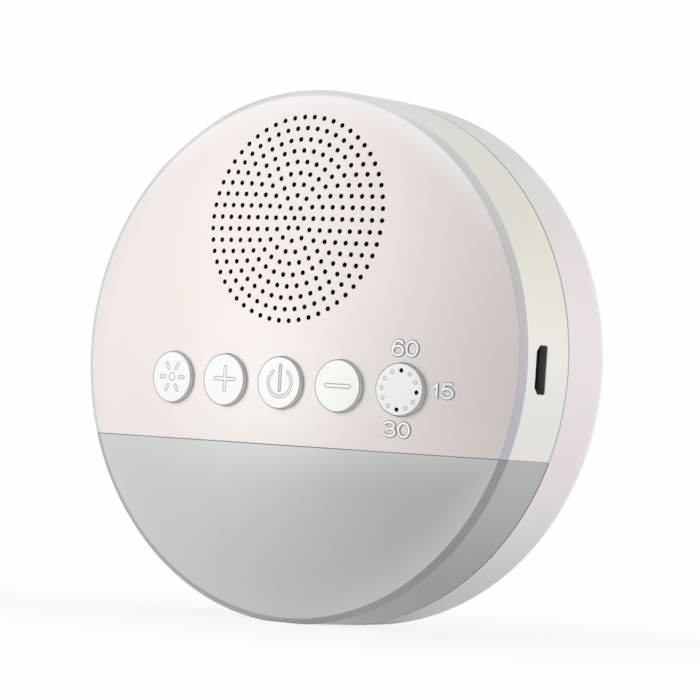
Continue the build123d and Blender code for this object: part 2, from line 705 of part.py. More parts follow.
def lead(points):
    """Flat two-core lead along the given corners, each taken by a tangent bend."""
    path = FilletPolyline(*points, radius=LEAD_BEND)
    start = Plane(origin=path @ 0, x_dir=(1, 0, 0), z_dir=path % 0)
    section = start * Rectangle(LEAD_WIDTH, LEAD_THICKNESS)
    return sweep(section, path=path)


def plug_top(name):
    """Where a lead leaves its plug on the main board, and the point above it."""
    x, z = CONNECTORS[name]
    top = BOARD_BACK_Y + CONNECTOR_HEIGHT
    return [(x, top + LEAD_RISE, z), (x, top, z)]


def speaker_lead():
    x, y, z = TAG_X, PLATE_Y + SHEET, GRILLE_Z - MAGNET_RADIUS - TAG_DROP
    return lead([(x, y, z), (x, y + LEAD_RISE, z), *plug_top("speaker")])


def battery_lead():
    """From the top edge of the cell, forwards over it and down to the main board."""
    x = CONNECTORS["battery"][0]
    top = BATTERY_Z + BATTERY_HEIGHT / 2
    middle = (BATTERY_FRONT_Y + BATTERY_BACK_Y) / 2
    over, end = plug_top("battery")
    rise = top + LEAD_RISE
    return lead([(x, middle, top), (x, middle, rise), (x, over[1], rise), over, end])


def light_lead():
    x, z = CONNECTORS["light"][0], LIGHT_Z + LIGHT_BOARD_HEIGHT / 2 - LEAD_WIDTH / 2
    pad_y = LIGHT_BOARD_Y + LIGHT_BOARD_THICKNESS
    return lead([(x, pad_y, z), (x, pad_y + LEAD_RISE, z), *plug_top("light")])


# ---------------------------------------------------------------- assembly
def assembly():
    """Every node by name; a node of several identical pieces is a list."""
    nodes = {
        "front_shell": front_shell(),
        "night_light_lens": night_light_lens(),
        "back_shell": back_shell(),
        "switch_bodies": [switch_body(place) for place in BUTTONS.values()],
        "main_board": main_board(),
        "usb_socket": usb_socket(),
        "usb_tongue": usb_tongue(),
        "capacitor": capacitor(),
        "board_connectors": [connector(place) for place in CONNECTORS.values()],
        "main_board_screws": [small_screw(place, BOARD_BACK_Y) for place in BOARD_SCREWS + POST_SCREWS],
        "light_tray": light_tray(),
        "light_board": light_board(),
        "light_leds": [light_led(place) for place in led_places()],
        "light_board_screws": [
            small_screw(place, LIGHT_BOARD_Y + LIGHT_BOARD_THICKNESS) for place in light_screw_places()
        ],
        "speaker_cloth": speaker_cloth(),
        "speaker_gasket": speaker_gasket(),
        "speaker_frame": speaker_frame(),
        "speaker_top_plate": speaker_top_plate(),
        "speaker_magnet": speaker_magnet(),
        "speaker_yoke": speaker_yoke(),
        "speaker_cone": speaker_cone(),
        "speaker_dust_cap": speaker_dust_cap(),
        "voice_coil": voice_coil(),
        "speaker_surround": speaker_surround(),
        "speaker_spider": speaker_spider(),
        "speaker_terminals": speaker_terminals(),
        "speaker_screws": [
            small_screw(place, SPEAKER_FRONT_Y + SHEET, SPEAKER_SCREW_LENGTH)
            for place in speaker_screw_places()
        ],
        "battery_cell": battery_cell(),
        "battery_foam": battery_foam(),
        "speaker_lead": speaker_lead(),
        "battery_lead": battery_lead(),
        "light_lead": light_lead(),
        "case_screws": [case_screw(place) for place in CASE_SCREWS],
    }
    for name, chip_size in CHIPS.items():
        nodes[name] = chip(*chip_size)
    for name, place in BUTTONS.items():
        nodes[f"{name}_button"] = button_cap(place)
        nodes[f"{name}_switch_plunger"] = switch_plunger(place)
    return nodes


os.makedirs("parts", exist_ok=True)
stored_frame = Pos(0, -MIDDLE_Y, AXIS_HEIGHT)
for node, shape in assembly().items():
    pieces = shape if isinstance(shape, list) else shape.solids()
    placed = [stored_frame * piece for piece in pieces]
    export_step(placed[0] if len(placed) == 1 else Compound(children=placed), f"parts/{node}.step")
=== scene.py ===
"""The looks of the white noise machine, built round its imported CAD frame. Metres, in the frame's own axes."""
from math import asin, atan2, cos, dist, hypot, pi, radians, sin, sqrt, tan

import bpy
from mathutils import Matrix, Vector
from mathutils.geometry import delaunay_2d_cdt


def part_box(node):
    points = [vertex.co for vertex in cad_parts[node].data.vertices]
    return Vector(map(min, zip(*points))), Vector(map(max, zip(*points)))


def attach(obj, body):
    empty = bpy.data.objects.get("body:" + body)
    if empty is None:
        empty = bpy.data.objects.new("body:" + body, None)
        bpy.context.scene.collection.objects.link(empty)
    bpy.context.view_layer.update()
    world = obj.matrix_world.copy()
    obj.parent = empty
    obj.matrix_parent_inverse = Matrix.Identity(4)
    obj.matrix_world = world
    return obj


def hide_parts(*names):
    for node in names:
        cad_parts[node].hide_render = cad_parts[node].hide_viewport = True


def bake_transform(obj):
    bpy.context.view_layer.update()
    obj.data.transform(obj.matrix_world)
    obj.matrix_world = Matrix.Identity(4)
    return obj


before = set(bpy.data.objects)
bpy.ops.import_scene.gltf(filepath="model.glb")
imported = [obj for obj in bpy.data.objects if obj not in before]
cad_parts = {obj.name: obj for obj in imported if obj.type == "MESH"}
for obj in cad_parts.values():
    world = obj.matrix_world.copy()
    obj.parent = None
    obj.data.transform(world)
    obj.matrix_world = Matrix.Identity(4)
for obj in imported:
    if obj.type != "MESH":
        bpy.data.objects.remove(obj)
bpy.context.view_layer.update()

# ---------------------------------------------------------------- sizes in the drum's own frame, mm
# X to the right, Y back from the apex of the face, Z up from the drum's axis
MM = 0.001
APEX_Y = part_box("front_shell")[0].y
AXIS_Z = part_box("back_shell")[1].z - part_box("back_shell")[1].x


def extent(node):
    """Lowest and highest corner of a node as (x, y, z) in the drum's frame."""
    return [(p.x / MM, (p.y - APEX_Y) / MM, (p.z - AXIS_Z) / MM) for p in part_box(node)]


def metres(point):
    """A point of the drum's frame in the frame of the whole object."""
    return Vector((point[0] * MM, point[1] * MM + APEX_Y, point[2] * MM + AXIS_Z))


def polar(place, radius, turn):
    """Point at a distance and a turn from a place, in the plane of X and Z."""
    return place[0] + radius * cos(turn), place[1] + radius * sin(turn)


SEAM_RADIUS = extent("back_shell")[1][0]
SEAM_Y = extent("night_light_lens")[1][1]
STAND_Z = -AXIS_Z / MM         # the flat foot
WALL = 2.0
DRAFT = 0.25                   # the side wall narrows by this towards the face
BEVEL_WIDTH = 0.87
BEVEL_DEPTH = 1.44
RIM_RADIUS = SEAM_RADIUS - DRAFT
FACE_RADIUS = RIM_RADIUS - BEVEL_WIDTH
FACE_RISE = 4.8
RIM_Y = FACE_RISE + BEVEL_DEPTH
DOME_RADIUS = (FACE_RADIUS**2 + FACE_RISE**2) / (2 * FACE_RISE)
SPLIT_Z = extent("front_shell")[0][2]
LENS_GAP = 0.1
LENS_Z = SPLIT_Z - LENS_GAP
CUT_ROUND = 0.12               # rounded edge of the shell and the lens along their split

GRILLE = (0.0, 24.47)
GRILLE_RINGS = 9
GRILLE_PITCH = 2.05
HOLE_RADIUS = 0.44
HOLE_ROUND = 0.06
SPEAKER_POSTS = [polar(GRILLE, 22.6, radians(a)) for a in (215, 325)]
# (radius, y) round the ring that the speaker sits in; y is None inside the wall of the face
SPEAKER_SEAT = ((21.4, None), (21.4, 8.4), (20.2, 8.4), (20.2, 6.8), (19.0, 6.8), (19.0, None))

CAP_RADIUS = 4.7
CAP_PROUD = 0.8
CAP_WALL = 1.2
FLANGE_RADIUS = 5.6
FLANGE_Y = 5.25
FLANGE_END_Y = FLANGE_Y + 0.9
CHAMFER = 0.1
PUSHER_RADIUS = 1.5            # post inside the cap that meets the switch
PUSHER_Y = 6.8
KEY_HALF = 0.7                 # tab below the flange that stops the cap from turning
KEY_REACH = (6.6, 5.4)
BORE_RADIUS = 4.85
BORE_EDGE = 4.77               # the bore where it meets the face
BORE_ROUND = 0.03
GUIDE_RADIUS = 6.85
GUIDE_END_Y = 7.0
SEAT_Y = 5.2


def cap_place(button):
    """Middle of a cap; the flange is the highest part of its node."""
    (low_x, _, _), (high_x, _, high_z) = extent(f"{button}_button")
    return (low_x + high_x) / 2, high_z - FLANGE_RADIUS


BUTTONS = ("light", "plus", "power", "minus", "timer")
CAPS = {name: cap_place(name) for name in BUTTONS}
BOARD_Y = 11.8
POST_GAP = 0.15
POST_Z = CAPS["light"][1] - FLANGE_RADIUS - POST_GAP
BOARD_POSTS = [(-29.0, 4.8), (29.0, 4.8)]
BOARD_POSTS += [((CAPS[a][0] + CAPS[b][0]) / 2, POST_Z) for a, b in (("light", "plus"), ("minus", "timer"))]
CASE_SCREWS = [(-29.0, 25.5), (29.0, 25.5), (-37.5, -9.5), (37.5, -9.5)]


def dome(x, z, inset=0.0):
    """Point and outward normal of the spherical face, moved back by `inset`."""
    sag = sqrt(DOME_RADIUS**2 - x * x - z * z)
    return Vector((x, inset + DOME_RADIUS - sag, z)), Vector((x, -sag, z)) / DOME_RADIUS


def inner_face(x, z):
    point, normal = dome(x, z, WALL)
    return point, -normal


def cap_face(x, z):
    return dome(x, z, -CAP_PROUD)


def add_object(name, data):
    made = bpy.data.objects.new(name, data)
    bpy.context.scene.collection.objects.link(made)
    return made


# ---------------------------------------------------------------- materials
WAVE_LENGTH = 0.314            # of Blender's wave texture at a scale of 1
WARM, COOL = (1.0, -0.3, -0.6), (-1.0, 0.3, 0.5)


def add_node(tree, kind, inputs, **settings):
    """New shader node; each input is given as a value or as the output that feeds it."""
    made = tree.nodes.new("ShaderNode" + kind)
    for name, value in settings.items():
        setattr(made, name, value)
    for name, value in inputs.items():
        if isinstance(value, bpy.types.NodeSocket):
            tree.links.new(value, made.inputs[name])
        else:
            made.inputs[name].default_value = value
    return made


def opaque(colour):
    return (*colour, 1) if isinstance(colour, tuple) else colour


class Finish:
    """A procedural material built up by small steps; lengths are in mm."""

    def __init__(self, name, rough, metal=0.0, **sockets):
        self.made = bpy.data.materials.new(name)
        self.made.use_nodes = True
        self.tree = self.made.node_tree
        self.shader = self.tree.nodes["Principled BSDF"]
        self.rough = rough
        for socket, value in {"Metallic": metal, "Roughness": rough, **sockets}.items():
            self.shader.inputs[socket.replace("_", " ")].default_value = value
        self.place = self.add("TexCoord", {}).outputs["Object"]

    def add(self, kind, inputs, **settings):
        return add_node(self.tree, kind, inputs, **settings)

    def math(self, operation, *values, clamp=False):
        return self.add("Math", dict(enumerate(values)), operation=operation, use_clamp=clamp).outputs[0]

    def times(self, first, *others):
        for other in others:
            first = self.math("MULTIPLY", first, other)
        return first

    def noise(self, size, detail=2.0, stretch=None):
        """Fractal noise of this feature size, drawn out along an axis by a stretch under 1."""
        source = self.place
        if stretch:
            source = self.add("Mapping", {"Vector": source, "Scale": stretch}).outputs[0]
        made = self.add("TexNoise", {"Vector": source, "Scale": 1 / (size * MM), "Detail": detail})
        return made.outputs["Fac"]

    def bands(self, size, axis):
        """Waves across an axis, this far apart."""
        inputs = {"Vector": self.place, "Scale": WAVE_LENGTH / (size * MM)}
        return self.add("TexWave", inputs, bands_direction=axis).outputs["Fac"]

    def ramp(self, value, low, high):
        """Colours at two positions of a value, each as (position, colour)."""
        made = self.add("ValToRGB", {"Fac": value})
        for element, (position, colour) in zip(made.color_ramp.elements, (low, high)):
            element.position = position
            element.color = opaque(colour)
        return made.outputs["Color"]

    def mix(self, share, one, other):
        """Colour `one` where share is 0 and `other` where it is 1."""
        inputs = {0: share, 6: opaque(one), 7: opaque(other)}
        return self.add("Mix", inputs, data_type="RGBA").outputs[2]

    def layers(self, colour, *coats):
        """A colour under coats of others, each given as its share and its colour."""
        for share, coat in coats:
            colour = self.mix(share, colour, coat)
        return colour

    def drift(self, colour, tint, size):
        """The colour with slow warm and cool clouds."""
        cool, warm = (
            tuple(min(1.0, c * (1 + tint * s)) for c, s in zip(colour, shift)) for shift in (COOL, WARM)
        )
        return self.ramp(self.noise(size), (0.38, cool), (0.62, warm))

    def done(self, colour, height, strength, size, spread=0.05):
        """The finished material: its colour, and bump and a small change of roughness from one height."""
        limits = {"To Min": max(0.03, self.rough - spread), "To Max": min(1.0, self.rough + spread)}
        reach = self.add("MapRange", {"Value": height, **limits}).outputs["Result"]
        bump = self.add("Bump", {"Height": height, "Strength": strength, "Distance": size * MM})
        ends = {"Base Color": colour, "Roughness": reach, "Normal": bump.outputs["Normal"]}
        for socket, source in ends.items():
            self.tree.links.new(source, self.shader.inputs[socket])
        return self.made

    def drum(self, axis):
        """Place along an axis of the drum's own frame."""
        inputs = {"Vector": self.place, "Scale": (1 / MM,) * 3, "Location": (0, -APEX_Y / MM, -AXIS_Z / MM)}
        return self.add("SeparateXYZ", {0: self.add("Mapping", inputs).outputs[0]}).outputs[axis]

    def from_axis(self):
        """Distance from the drum's axis."""
        x, z = self.drum("X"), self.drum("Z")
        return self.math("SQRT", self.math("ADD", self.times(x, x), self.times(z, z)))

    def fade(self, value, first, last):
        """Smooth share from 0 where the value is `first` to 1 where it is `last`."""
        inputs = {"Value": value, "From Min": first, "From Max": last}
        return self.add("MapRange", inputs, interpolation_type="SMOOTHSTEP").outputs["Result"]

    def rim(self):
        """1 on the bevelled rim, which takes in the rounded edge of the face on the left so that the bevel's
        painted shade runs onto it there, and 0 elsewhere.
        """
        x, reach = self.drum("X"), self.from_axis()
        for first, last, width in ((24, -28, 0.5), (-16, -38, 0.15)):
            reach = self.math("ADD", reach, self.times(self.fade(x, first, last), width))
        return self.math("GREATER_THAN", reach, FACE_RADIUS - 0.1)

    def beside(self):
        """1 behind the rim and 0 in front of it."""
        return self.math("GREATER_THAN", self.drum("Y"), RIM_Y)


def moulded(name, colour, rough, grain=0.04, grain_size=0.25, tint=0.01, tint_size=30.0, **sockets):
    """Injection-moulded plastic: fine spark-eroded grain and a faint drift of colour."""
    finish = Finish(name, rough, **sockets)
    drift = finish.drift(colour, tint, tint_size)
    return finish.done(drift, finish.noise(grain_size, 3.0), grain, grain_size * 0.3)


def metal(name, colour, rough, stretch=(1, 1, 0.06), size=0.12, strength=0.15):
    """Plated, drawn or ground metal with its marks along one direction."""
    finish = Finish(name, rough, 1.0)
    streaks = finish.noise(size, 4.0, stretch)
    return finish.done(finish.drift(colour, 0.03, 6.0), streaks, strength, size * 0.2, 0.12)


def woven(name, colour, other, thread):
    """Plain weave: threads over and under each other along X and Z."""
    finish = Finish(name, 0.9, Sheen_Weight=0.15)
    cover = finish.math("MAXIMUM", finish.bands(thread, "X"), finish.bands(thread, "Z"))
    # darker between the threads and in random patches
    thread_share = finish.times(cover, finish.noise(thread * 5))
    return finish.done(finish.mix(thread_share, other, colour), cover, 0.6, thread * 0.4)


def wound(name, colour, other, pitch):
    """Enamelled wire that runs round the speaker, side by side along Y."""
    finish = Finish(name, 0.3, 1.0)
    turns = finish.bands(pitch, "Y")
    return finish.done(finish.mix(turns, other, colour), turns, 0.7, pitch * 0.4)


def circuit(name):
    """Green solder mask over copper tracks, with its bare laminate between them."""
    finish = Finish(name, 0.35, Coat_Weight=0.3)
    upright = finish.add("Mapping", {"Vector": finish.place, "Rotation": (pi / 2, 0, 0)})
    inputs = {"Vector": upright.outputs[0], "Scale": 1 / (9 * MM), "Mortar Size": 0.035}
    inputs |= {"Color1": (0.008, 0.075, 0.028, 1), "Color2": (0.012, 0.10, 0.038, 1)}
    bricks = finish.add("TexBrick", {**inputs, "Mortar": (0.03, 0.22, 0.07, 1)})
    height = finish.math("ADD", bricks.outputs["Fac"], finish.noise(0.4))
    return finish.done(bricks.outputs["Color"], height, 0.3, 0.05)


def rough_solid(name, colour, other, rough, size, strength=0.4, **sockets):
    """Sintered, foamed or pressed material with an open, spotted surface."""
    finish = Finish(name, rough, **sockets)
    spots = finish.noise(size, 6.0)
    return finish.done(finish.ramp(spots, (0.4, other), (0.6, colour)), spots, strength, size * 0.4)


def shell_white():
    """Front shell: the face is warm, cooler beside its rim; painted shade darkens it towards the right and
    along its left edge, and painted light brightens it beside its top edge. The bevel is painted grey as shade,
    lighter towards the top as painted light, with a painted highlight at its crest. The side wall is cream,
    with painted shade greying its top.
    """
    finish = Finish("white_shell", 0.3)
    fade, times = finish.fade, finish.times
    x, z, radius = finish.drum("X"), finish.drum("Z"), finish.from_axis()
    shade_slant = finish.math("ADD", x, times(z, 0.3))
    near_rim, top = fade(radius, FACE_RADIUS - 5, FACE_RADIUS), fade(z, 16, 40)
    below_top = finish.math("SUBTRACT", 1.0, top)
    face = finish.layers(
        finish.drift((0.80, 0.735, 0.72), 0.012, 30.0),
        # painted shade: darker towards the right and the top right
        (fade(shade_slant, 17, 46), (0.712, 0.648, 0.637)),
        # painted light: lighter beside the rim at the top
        (times(near_rim, top), (0.82, 0.795, 0.785)),
        # painted shade: darker beside the rim on the left
        (times(near_rim, fade(x, -12, -34), below_top), (0.745, 0.70, 0.69)),
    )
    past_face = finish.math("GREATER_THAN", radius, FACE_RADIUS - 0.1)
    # the bevel's grey is painted shade
    rim = finish.layers(
        (0.655, 0.655, 0.655),
        # painted shade: lavender lower down
        (fade(z, 12, -8), (0.635, 0.63, 0.715)),
        # painted light: lighter towards the top
        (fade(z, 12, 34), (0.77, 0.77, 0.765)),
        # painted shade: darker to the left, darker still at the far left
        (fade(x, 24, -20), (0.62, 0.62, 0.63)),
        (fade(x, -16, -38), (0.58, 0.585, 0.595)),
        # painted highlight along the bevel's crest at the top
        (times(fade(x, -18, 2), fade(z, 36, 47), past_face), (0.96, 0.965, 0.955)),
    )
    side = finish.layers(
        finish.drift((0.81, 0.785, 0.755), 0.012, 20.0),
        (fade(z, -8, 12), (0.80, 0.765, 0.70)),
        # painted shade: greyer at the top
        (fade(z, 38, 46), (0.745, 0.745, 0.725)),
    )
    colour = finish.layers(face, (finish.rim(), rim), (finish.beside(), side))
    return finish.done(colour, finish.noise(0.25, 3.0), 0.02, 0.08, 0.03)


def seam_white():
    """Back shell: painted shade on its bevel at the seam, darkest below the lens, and painted shade darkening
    and cooling its lower part, which turns lighter and cooler again at the foot.
    """
    finish = Finish("back_white", 0.45, Specular_IOR_Level=0.25)
    z = finish.drum("Z")
    white = finish.layers(
        (0.775, 0.77, 0.755),
        (finish.fade(z, 40, 14), finish.drift((0.80, 0.735, 0.725), 0.012, 30.0)),
        # painted shade: darker and cooler lower down
        (finish.fade(z, -20, -36), (0.70, 0.725, 0.735)),
        # lighter and cooler again at the foot
        (finish.fade(z, -38, -46), (0.79, 0.83, 0.84)),
    )
    # painted shade on the bevel at the seam, darkest below the lens
    shade = finish.layers(
        (0.56, 0.60, 0.70),
        (finish.fade(z, 0, 34), (0.42, 0.42, 0.41)),
        (finish.math("LESS_THAN", z, LENS_Z), (0.26, 0.26, 0.27)),
    )
    bevel = finish.math("LESS_THAN", finish.drum("Y"), SEAM_Y + 0.3)
    return finish.done(finish.mix(bevel, white, shade), finish.noise(0.25, 3.0), 0.03, 0.08)


def frosted():
    """Lens: grey frosted plastic; painted shade darkens it towards the right, painted light makes it lighter
    and cooler near its edges, and painted shade darkens its bevel and the foot of its side.
    """
    finish = Finish("lens", 0.32, Coat_Weight=0.15, Coat_Roughness=0.2)
    fade, x = finish.fade, finish.drum("X")
    to_rim = finish.math("SUBTRACT", FACE_RADIUS, finish.from_axis())
    to_split = finish.math("SUBTRACT", LENS_Z, finish.drum("Z"))
    inward = finish.math("DIVIDE", finish.math("MINIMUM", to_rim, to_split), 9)
    edge = finish.math("SUBTRACT", 1.0, inward, clamp=True)
    front = finish.layers(
        finish.drift((0.565, 0.55, 0.555), 0.02, 22.0),
        # painted shade: darker towards the right
        (fade(x, -25, 35), (0.46, 0.44, 0.452)),
        # painted light: lighter and cooler near the edges
        (finish.times(edge, edge), (0.56, 0.59, 0.595)),
    )
    # the bevel's grey is painted shade, a little lighter low on the right
    bevel = finish.layers(
        (0.365, 0.382, 0.395),
        (fade(x, 24, -10), (0.37, 0.38, 0.385)),
        (finish.times(fade(to_split, 16, 26), fade(x, -14, 0)), (0.42, 0.44, 0.455)),
    )
    # painted shade: the side darker towards the bottom
    side = finish.mix(fade(to_split, 0, 34), (0.42, 0.435, 0.44), (0.22, 0.23, 0.24))
    colour = finish.layers(front, (finish.rim(), bevel), (finish.beside(), side))
    return finish.done(colour, finish.noise(0.2, 3.0), 0.02, 0.06)


def cap_white():
    """Caps of the push buttons, with painted light making them brighter to the right."""
    finish = Finish("button_white", 0.36)
    # painted light: brighter towards the right
    right = finish.fade(finish.drum("X"), -10, 12)
    colour = finish.mix(right, finish.drift((0.855, 0.855, 0.845), 0.004, 30.0), (0.92, 0.925, 0.89))
    return finish.done(colour, finish.noise(0.25, 3.0), 0.03, 0.075)


WHITE = shell_white()
LENS = frosted()
CAP_WHITE = cap_white()
CAP_GREY = moulded("timer_white", (0.915, 0.91, 0.885), 0.36, 0.03, tint=0.004)
NUMERAL_WHITE = moulded("numeral_white", (0.96, 0.96, 0.95), 0.4, 0.03, tint=0.004)
# grey painted as shade: in the grooves of the marks, on the ring and rounded edge round each cap's face, and on
# the sides and outlines of the numerals
SHADE_LINE = moulded("line_shade_grey", (0.30, 0.30, 0.31), 0.5, 0.03)
SOFT_LINE = moulded("line_soft", (0.62, 0.62, 0.63), 0.5, 0.03)
# near black painted on the walls of the grille's holes as shade
HOLE_SHADE = moulded("hole_wall_shade", (0.004, 0.004, 0.005), 0.6, 0.05, Specular_IOR_Level=0.05)
# grey painted on the walls of the port's opening as the white shell's wall in shade
PORT_WALL_SHADE = moulded("port_wall_shade", (0.20, 0.19, 0.21), 0.5, 0.05, Specular_IOR_Level=0.2)
PRINT = moulded("dot_black", (0.003, 0.003, 0.003), 0.6, 0.03, Specular_IOR_Level=0.05)
STEEL = metal("plated_steel", (0.55, 0.55, 0.56), 0.3)
# near-black steel painted as shade: the USB socket seen deep in its port, and the walls and floors of the
# screws' cross recesses
STEEL_IN_SHADE = metal("steel_in_shade", (0.02, 0.02, 0.021), 0.5, (0.06, 1, 1))
RUBBER = rough_solid("surround_rubber", (0.016, 0.016, 0.017), (0.010, 0.010, 0.010), 0.55, 0.8, 0.1)
SPIDER = woven("spider_cloth", (0.42, 0.24, 0.08), (0.22, 0.11, 0.03), 0.35)
BLACK = moulded("black_plastic", (0.012, 0.012, 0.013), 0.45, 0.15, 0.15, 0.02)
NYLON = moulded("connector_nylon", (0.72, 0.68, 0.58), 0.5, 0.08, 0.3, 0.02)
REFLECTOR = moulded("reflector_white", (0.85, 0.85, 0.82), 0.6, 0.08, 0.3)
LED = moulded("led_package", (0.85, 0.82, 0.55), 0.25, 0.05, 0.2, 0.03, 4.0)
JACKET = moulded("lead_jacket", (0.45, 0.02, 0.015), 0.45, 0.05, 0.4, 0.04, 3.0)
CAN = metal("aluminium_can", (0.72, 0.72, 0.74), 0.25, (1, 0.05, 1))
POUCH = metal("battery_foil", (0.66, 0.66, 0.67), 0.38, None, 2.5, 0.35)
COPPER = wound("copper_winding", (0.62, 0.25, 0.10), (0.30, 0.10, 0.04), 0.2)
FERRITE = rough_solid("ferrite", (0.035, 0.035, 0.037), (0.015, 0.015, 0.016), 0.7, 0.4)
FOAM = rough_solid("gasket_foam", (0.03, 0.03, 0.03), (0.008, 0.008, 0.008), 0.95, 0.25, 0.8)
PAPER = rough_solid("cone_paper", (0.035, 0.034, 0.033), (0.012,) * 3, 0.9, 0.6, 0.5, Sheen_Weight=0.1)
CLOTH = woven("acoustic_cloth", (0.008, 0.008, 0.009), (0.001, 0.001, 0.001), 0.3)

# the CAD nodes that are shown as they are
NODE_FINISHES = (
    (seam_white(), "back_shell"),
    (STEEL_IN_SHADE, "usb_socket"),
    (REFLECTOR, "light_tray"),
    (LED, "light_leds"),
    (NYLON, "board_connectors"),
    (CAN, "capacitor"),
    (POUCH, "battery_cell"),
    (FOAM, "battery_foam speaker_gasket"),
    (CLOTH, "speaker_cloth"),
    (PAPER, "speaker_cone speaker_dust_cap"),
    (FERRITE, "speaker_magnet"),
    (COPPER, "voice_coil"),
    (circuit("circuit_board"), "main_board light_board speaker_terminals"),
    (BLACK, "sound_chip amplifier_chip charger_chip memory_chip usb_tongue switch_bodies"),
    (BLACK, " ".join(f"{button}_switch_plunger" for button in BUTTONS)),
    (STEEL, "speaker_frame speaker_top_plate speaker_yoke"),
    (STEEL, "speaker_screws main_board_screws light_board_screws"),
    (JACKET, "speaker_lead battery_lead light_lead"),
)


# ---------------------------------------------------------------- outlines
# A loop is a closed outline in the plane of X and Z: points, each with the way out of it.
def arc(place, radius, first, last, count):
    """Points along an arc, each with the way from its middle."""
    turns = [first + (last - first) * i / count for i in range(count + 1)]
    return [(polar(place, radius, turn), (cos(turn), sin(turn))) for turn in turns]


def circle(place, radius, count):
    return arc(place, radius, 0, 2 * pi, count)[:-1]


def offset(loop, by=0.0):
    """The points of a loop, moved out of it."""
    return [(p[0] + way[0] * by, p[1] + way[1] * by) for p, way in loop]


def ways_of(loop, sign=1):
    """The ways out of a loop as vectors; a sign of -1 turns them inwards."""
    return [Vector((sign * way[0], 0, sign * way[1])) for _, way in loop]


def corner_arc(before, here, after, steps, radius=None, tangent=None):
    """Arc in place of a corner, given by its radius or by its tangents' length; outwards is to the right."""
    into, out = (here - before).normalized(), (after - here).normalized()
    turn = atan2(into.x * out.y - into.y * out.x, into.dot(out))
    if radius is None:
        radius = tangent / tan(abs(turn) / 2)
    else:
        tangent = radius * tan(abs(turn) / 2)
    if turn < 0:
        radius = -radius
    start = Vector((into.y, -into.x))
    middle = here - into * tangent - start * radius
    ways = [Matrix.Rotation(turn * k / steps, 2) @ start for k in range(steps + 1)]
    return [(middle + way * radius, way) for way in ways]


def rounded_outline(corners, radii, steps=4):
    """Loop with rounded corners, from corners that run anticlockwise."""
    loop = []
    for corner, radius in zip(neighbours([Vector(corner) for corner in corners]), radii):
        loop += [(tuple(point), tuple(way)) for point, way in corner_arc(*corner, steps, radius)]
    return loop


def inside(point, outline):
    """True if the point lies in the closed outline."""
    x, z = point
    odd = False
    for (ax, az), (bx, bz) in zip(outline, outline[1:] + outline[:1]):
        if (az > z) != (bz > z) and x < (bx - ax) * (z - az) / (bz - az) + ax:
            odd = not odd
    return odd


def neighbours(points, closed=True):
    """Each point between the one before and the one after it; an end of an open line is its own."""
    first, last = (points[-1:], points[:1]) if closed else (points[:1], points[-1:])
    return zip(first + points, points, points[1:] + last)


def between(one, other, count):
    """Points on the straight line between two, without its ends."""
    return [tuple(a + (b - a) * i / count for a, b in zip(one, other)) for i in range(1, count)]


def hex_spots(reach, pitch, keep):
    """Points of a triangular grid on the face within a radius, where keep(x, z) says so."""
    off_x, off_z = 0.007, 0.013    # keep the grid off the lines of symmetry
    step = pitch * sqrt(3) / 2
    rows, count = int(FACE_RADIUS / step), int(FACE_RADIUS / pitch) + 1
    grid = [
        (i * pitch + (pitch / 2 if k % 2 else 0) + off_x, k * step + off_z)
        for k in range(-rows, rows + 1)
        for i in range(-count, count + 1)
    ]
    return [(x, z) for x, z in grid if hypot(x, z) < reach and keep(x, z)]


def flat_triangles(outline, hollows, spots):
    """Triangles of a flat region without its hollows, as numbers into outline + every loop + spots.

    A hollow is the outer edge of a loop, and the edge of an island in it or None.
    """
    loops = [(outline, 0)] + [(loop, k) for k, pair in enumerate(hollows, 1) for loop in pair if loop]
    points, edges, owner = [], [], []
    for loop, group in loops:
        first, count = len(points), len(loop)
        points += [Vector(p) for p in loop]
        edges += [(first + i, first + (i + 1) % count) for i in range(count)]
        owner += [group] * count
    points += [Vector(p) for p in spots]
    owner += [None] * len(spots)

    def wanted(corners):
        """Only a triangle whose corners are all on one outline can lie in a hollow or outside."""
        group = owner[corners[0]]
        if group is None or any(owner[i] != group for i in corners):
            return True
        middle = sum((points[i] for i in corners), Vector((0, 0))) / 3
        if group == 0:
            return inside(middle, outline)
        outer, island = hollows[group - 1]
        return not inside(middle, outer) or bool(island) and inside(middle, island)

    _, _, triangles, known, _, _ = delaunay_2d_cdt(points, edges, [], 0, 1e-7, True)
    triangles = [tuple(known[i][0] for i in corners) for corners in triangles]
    return [corners for corners in triangles if wanted(corners)]


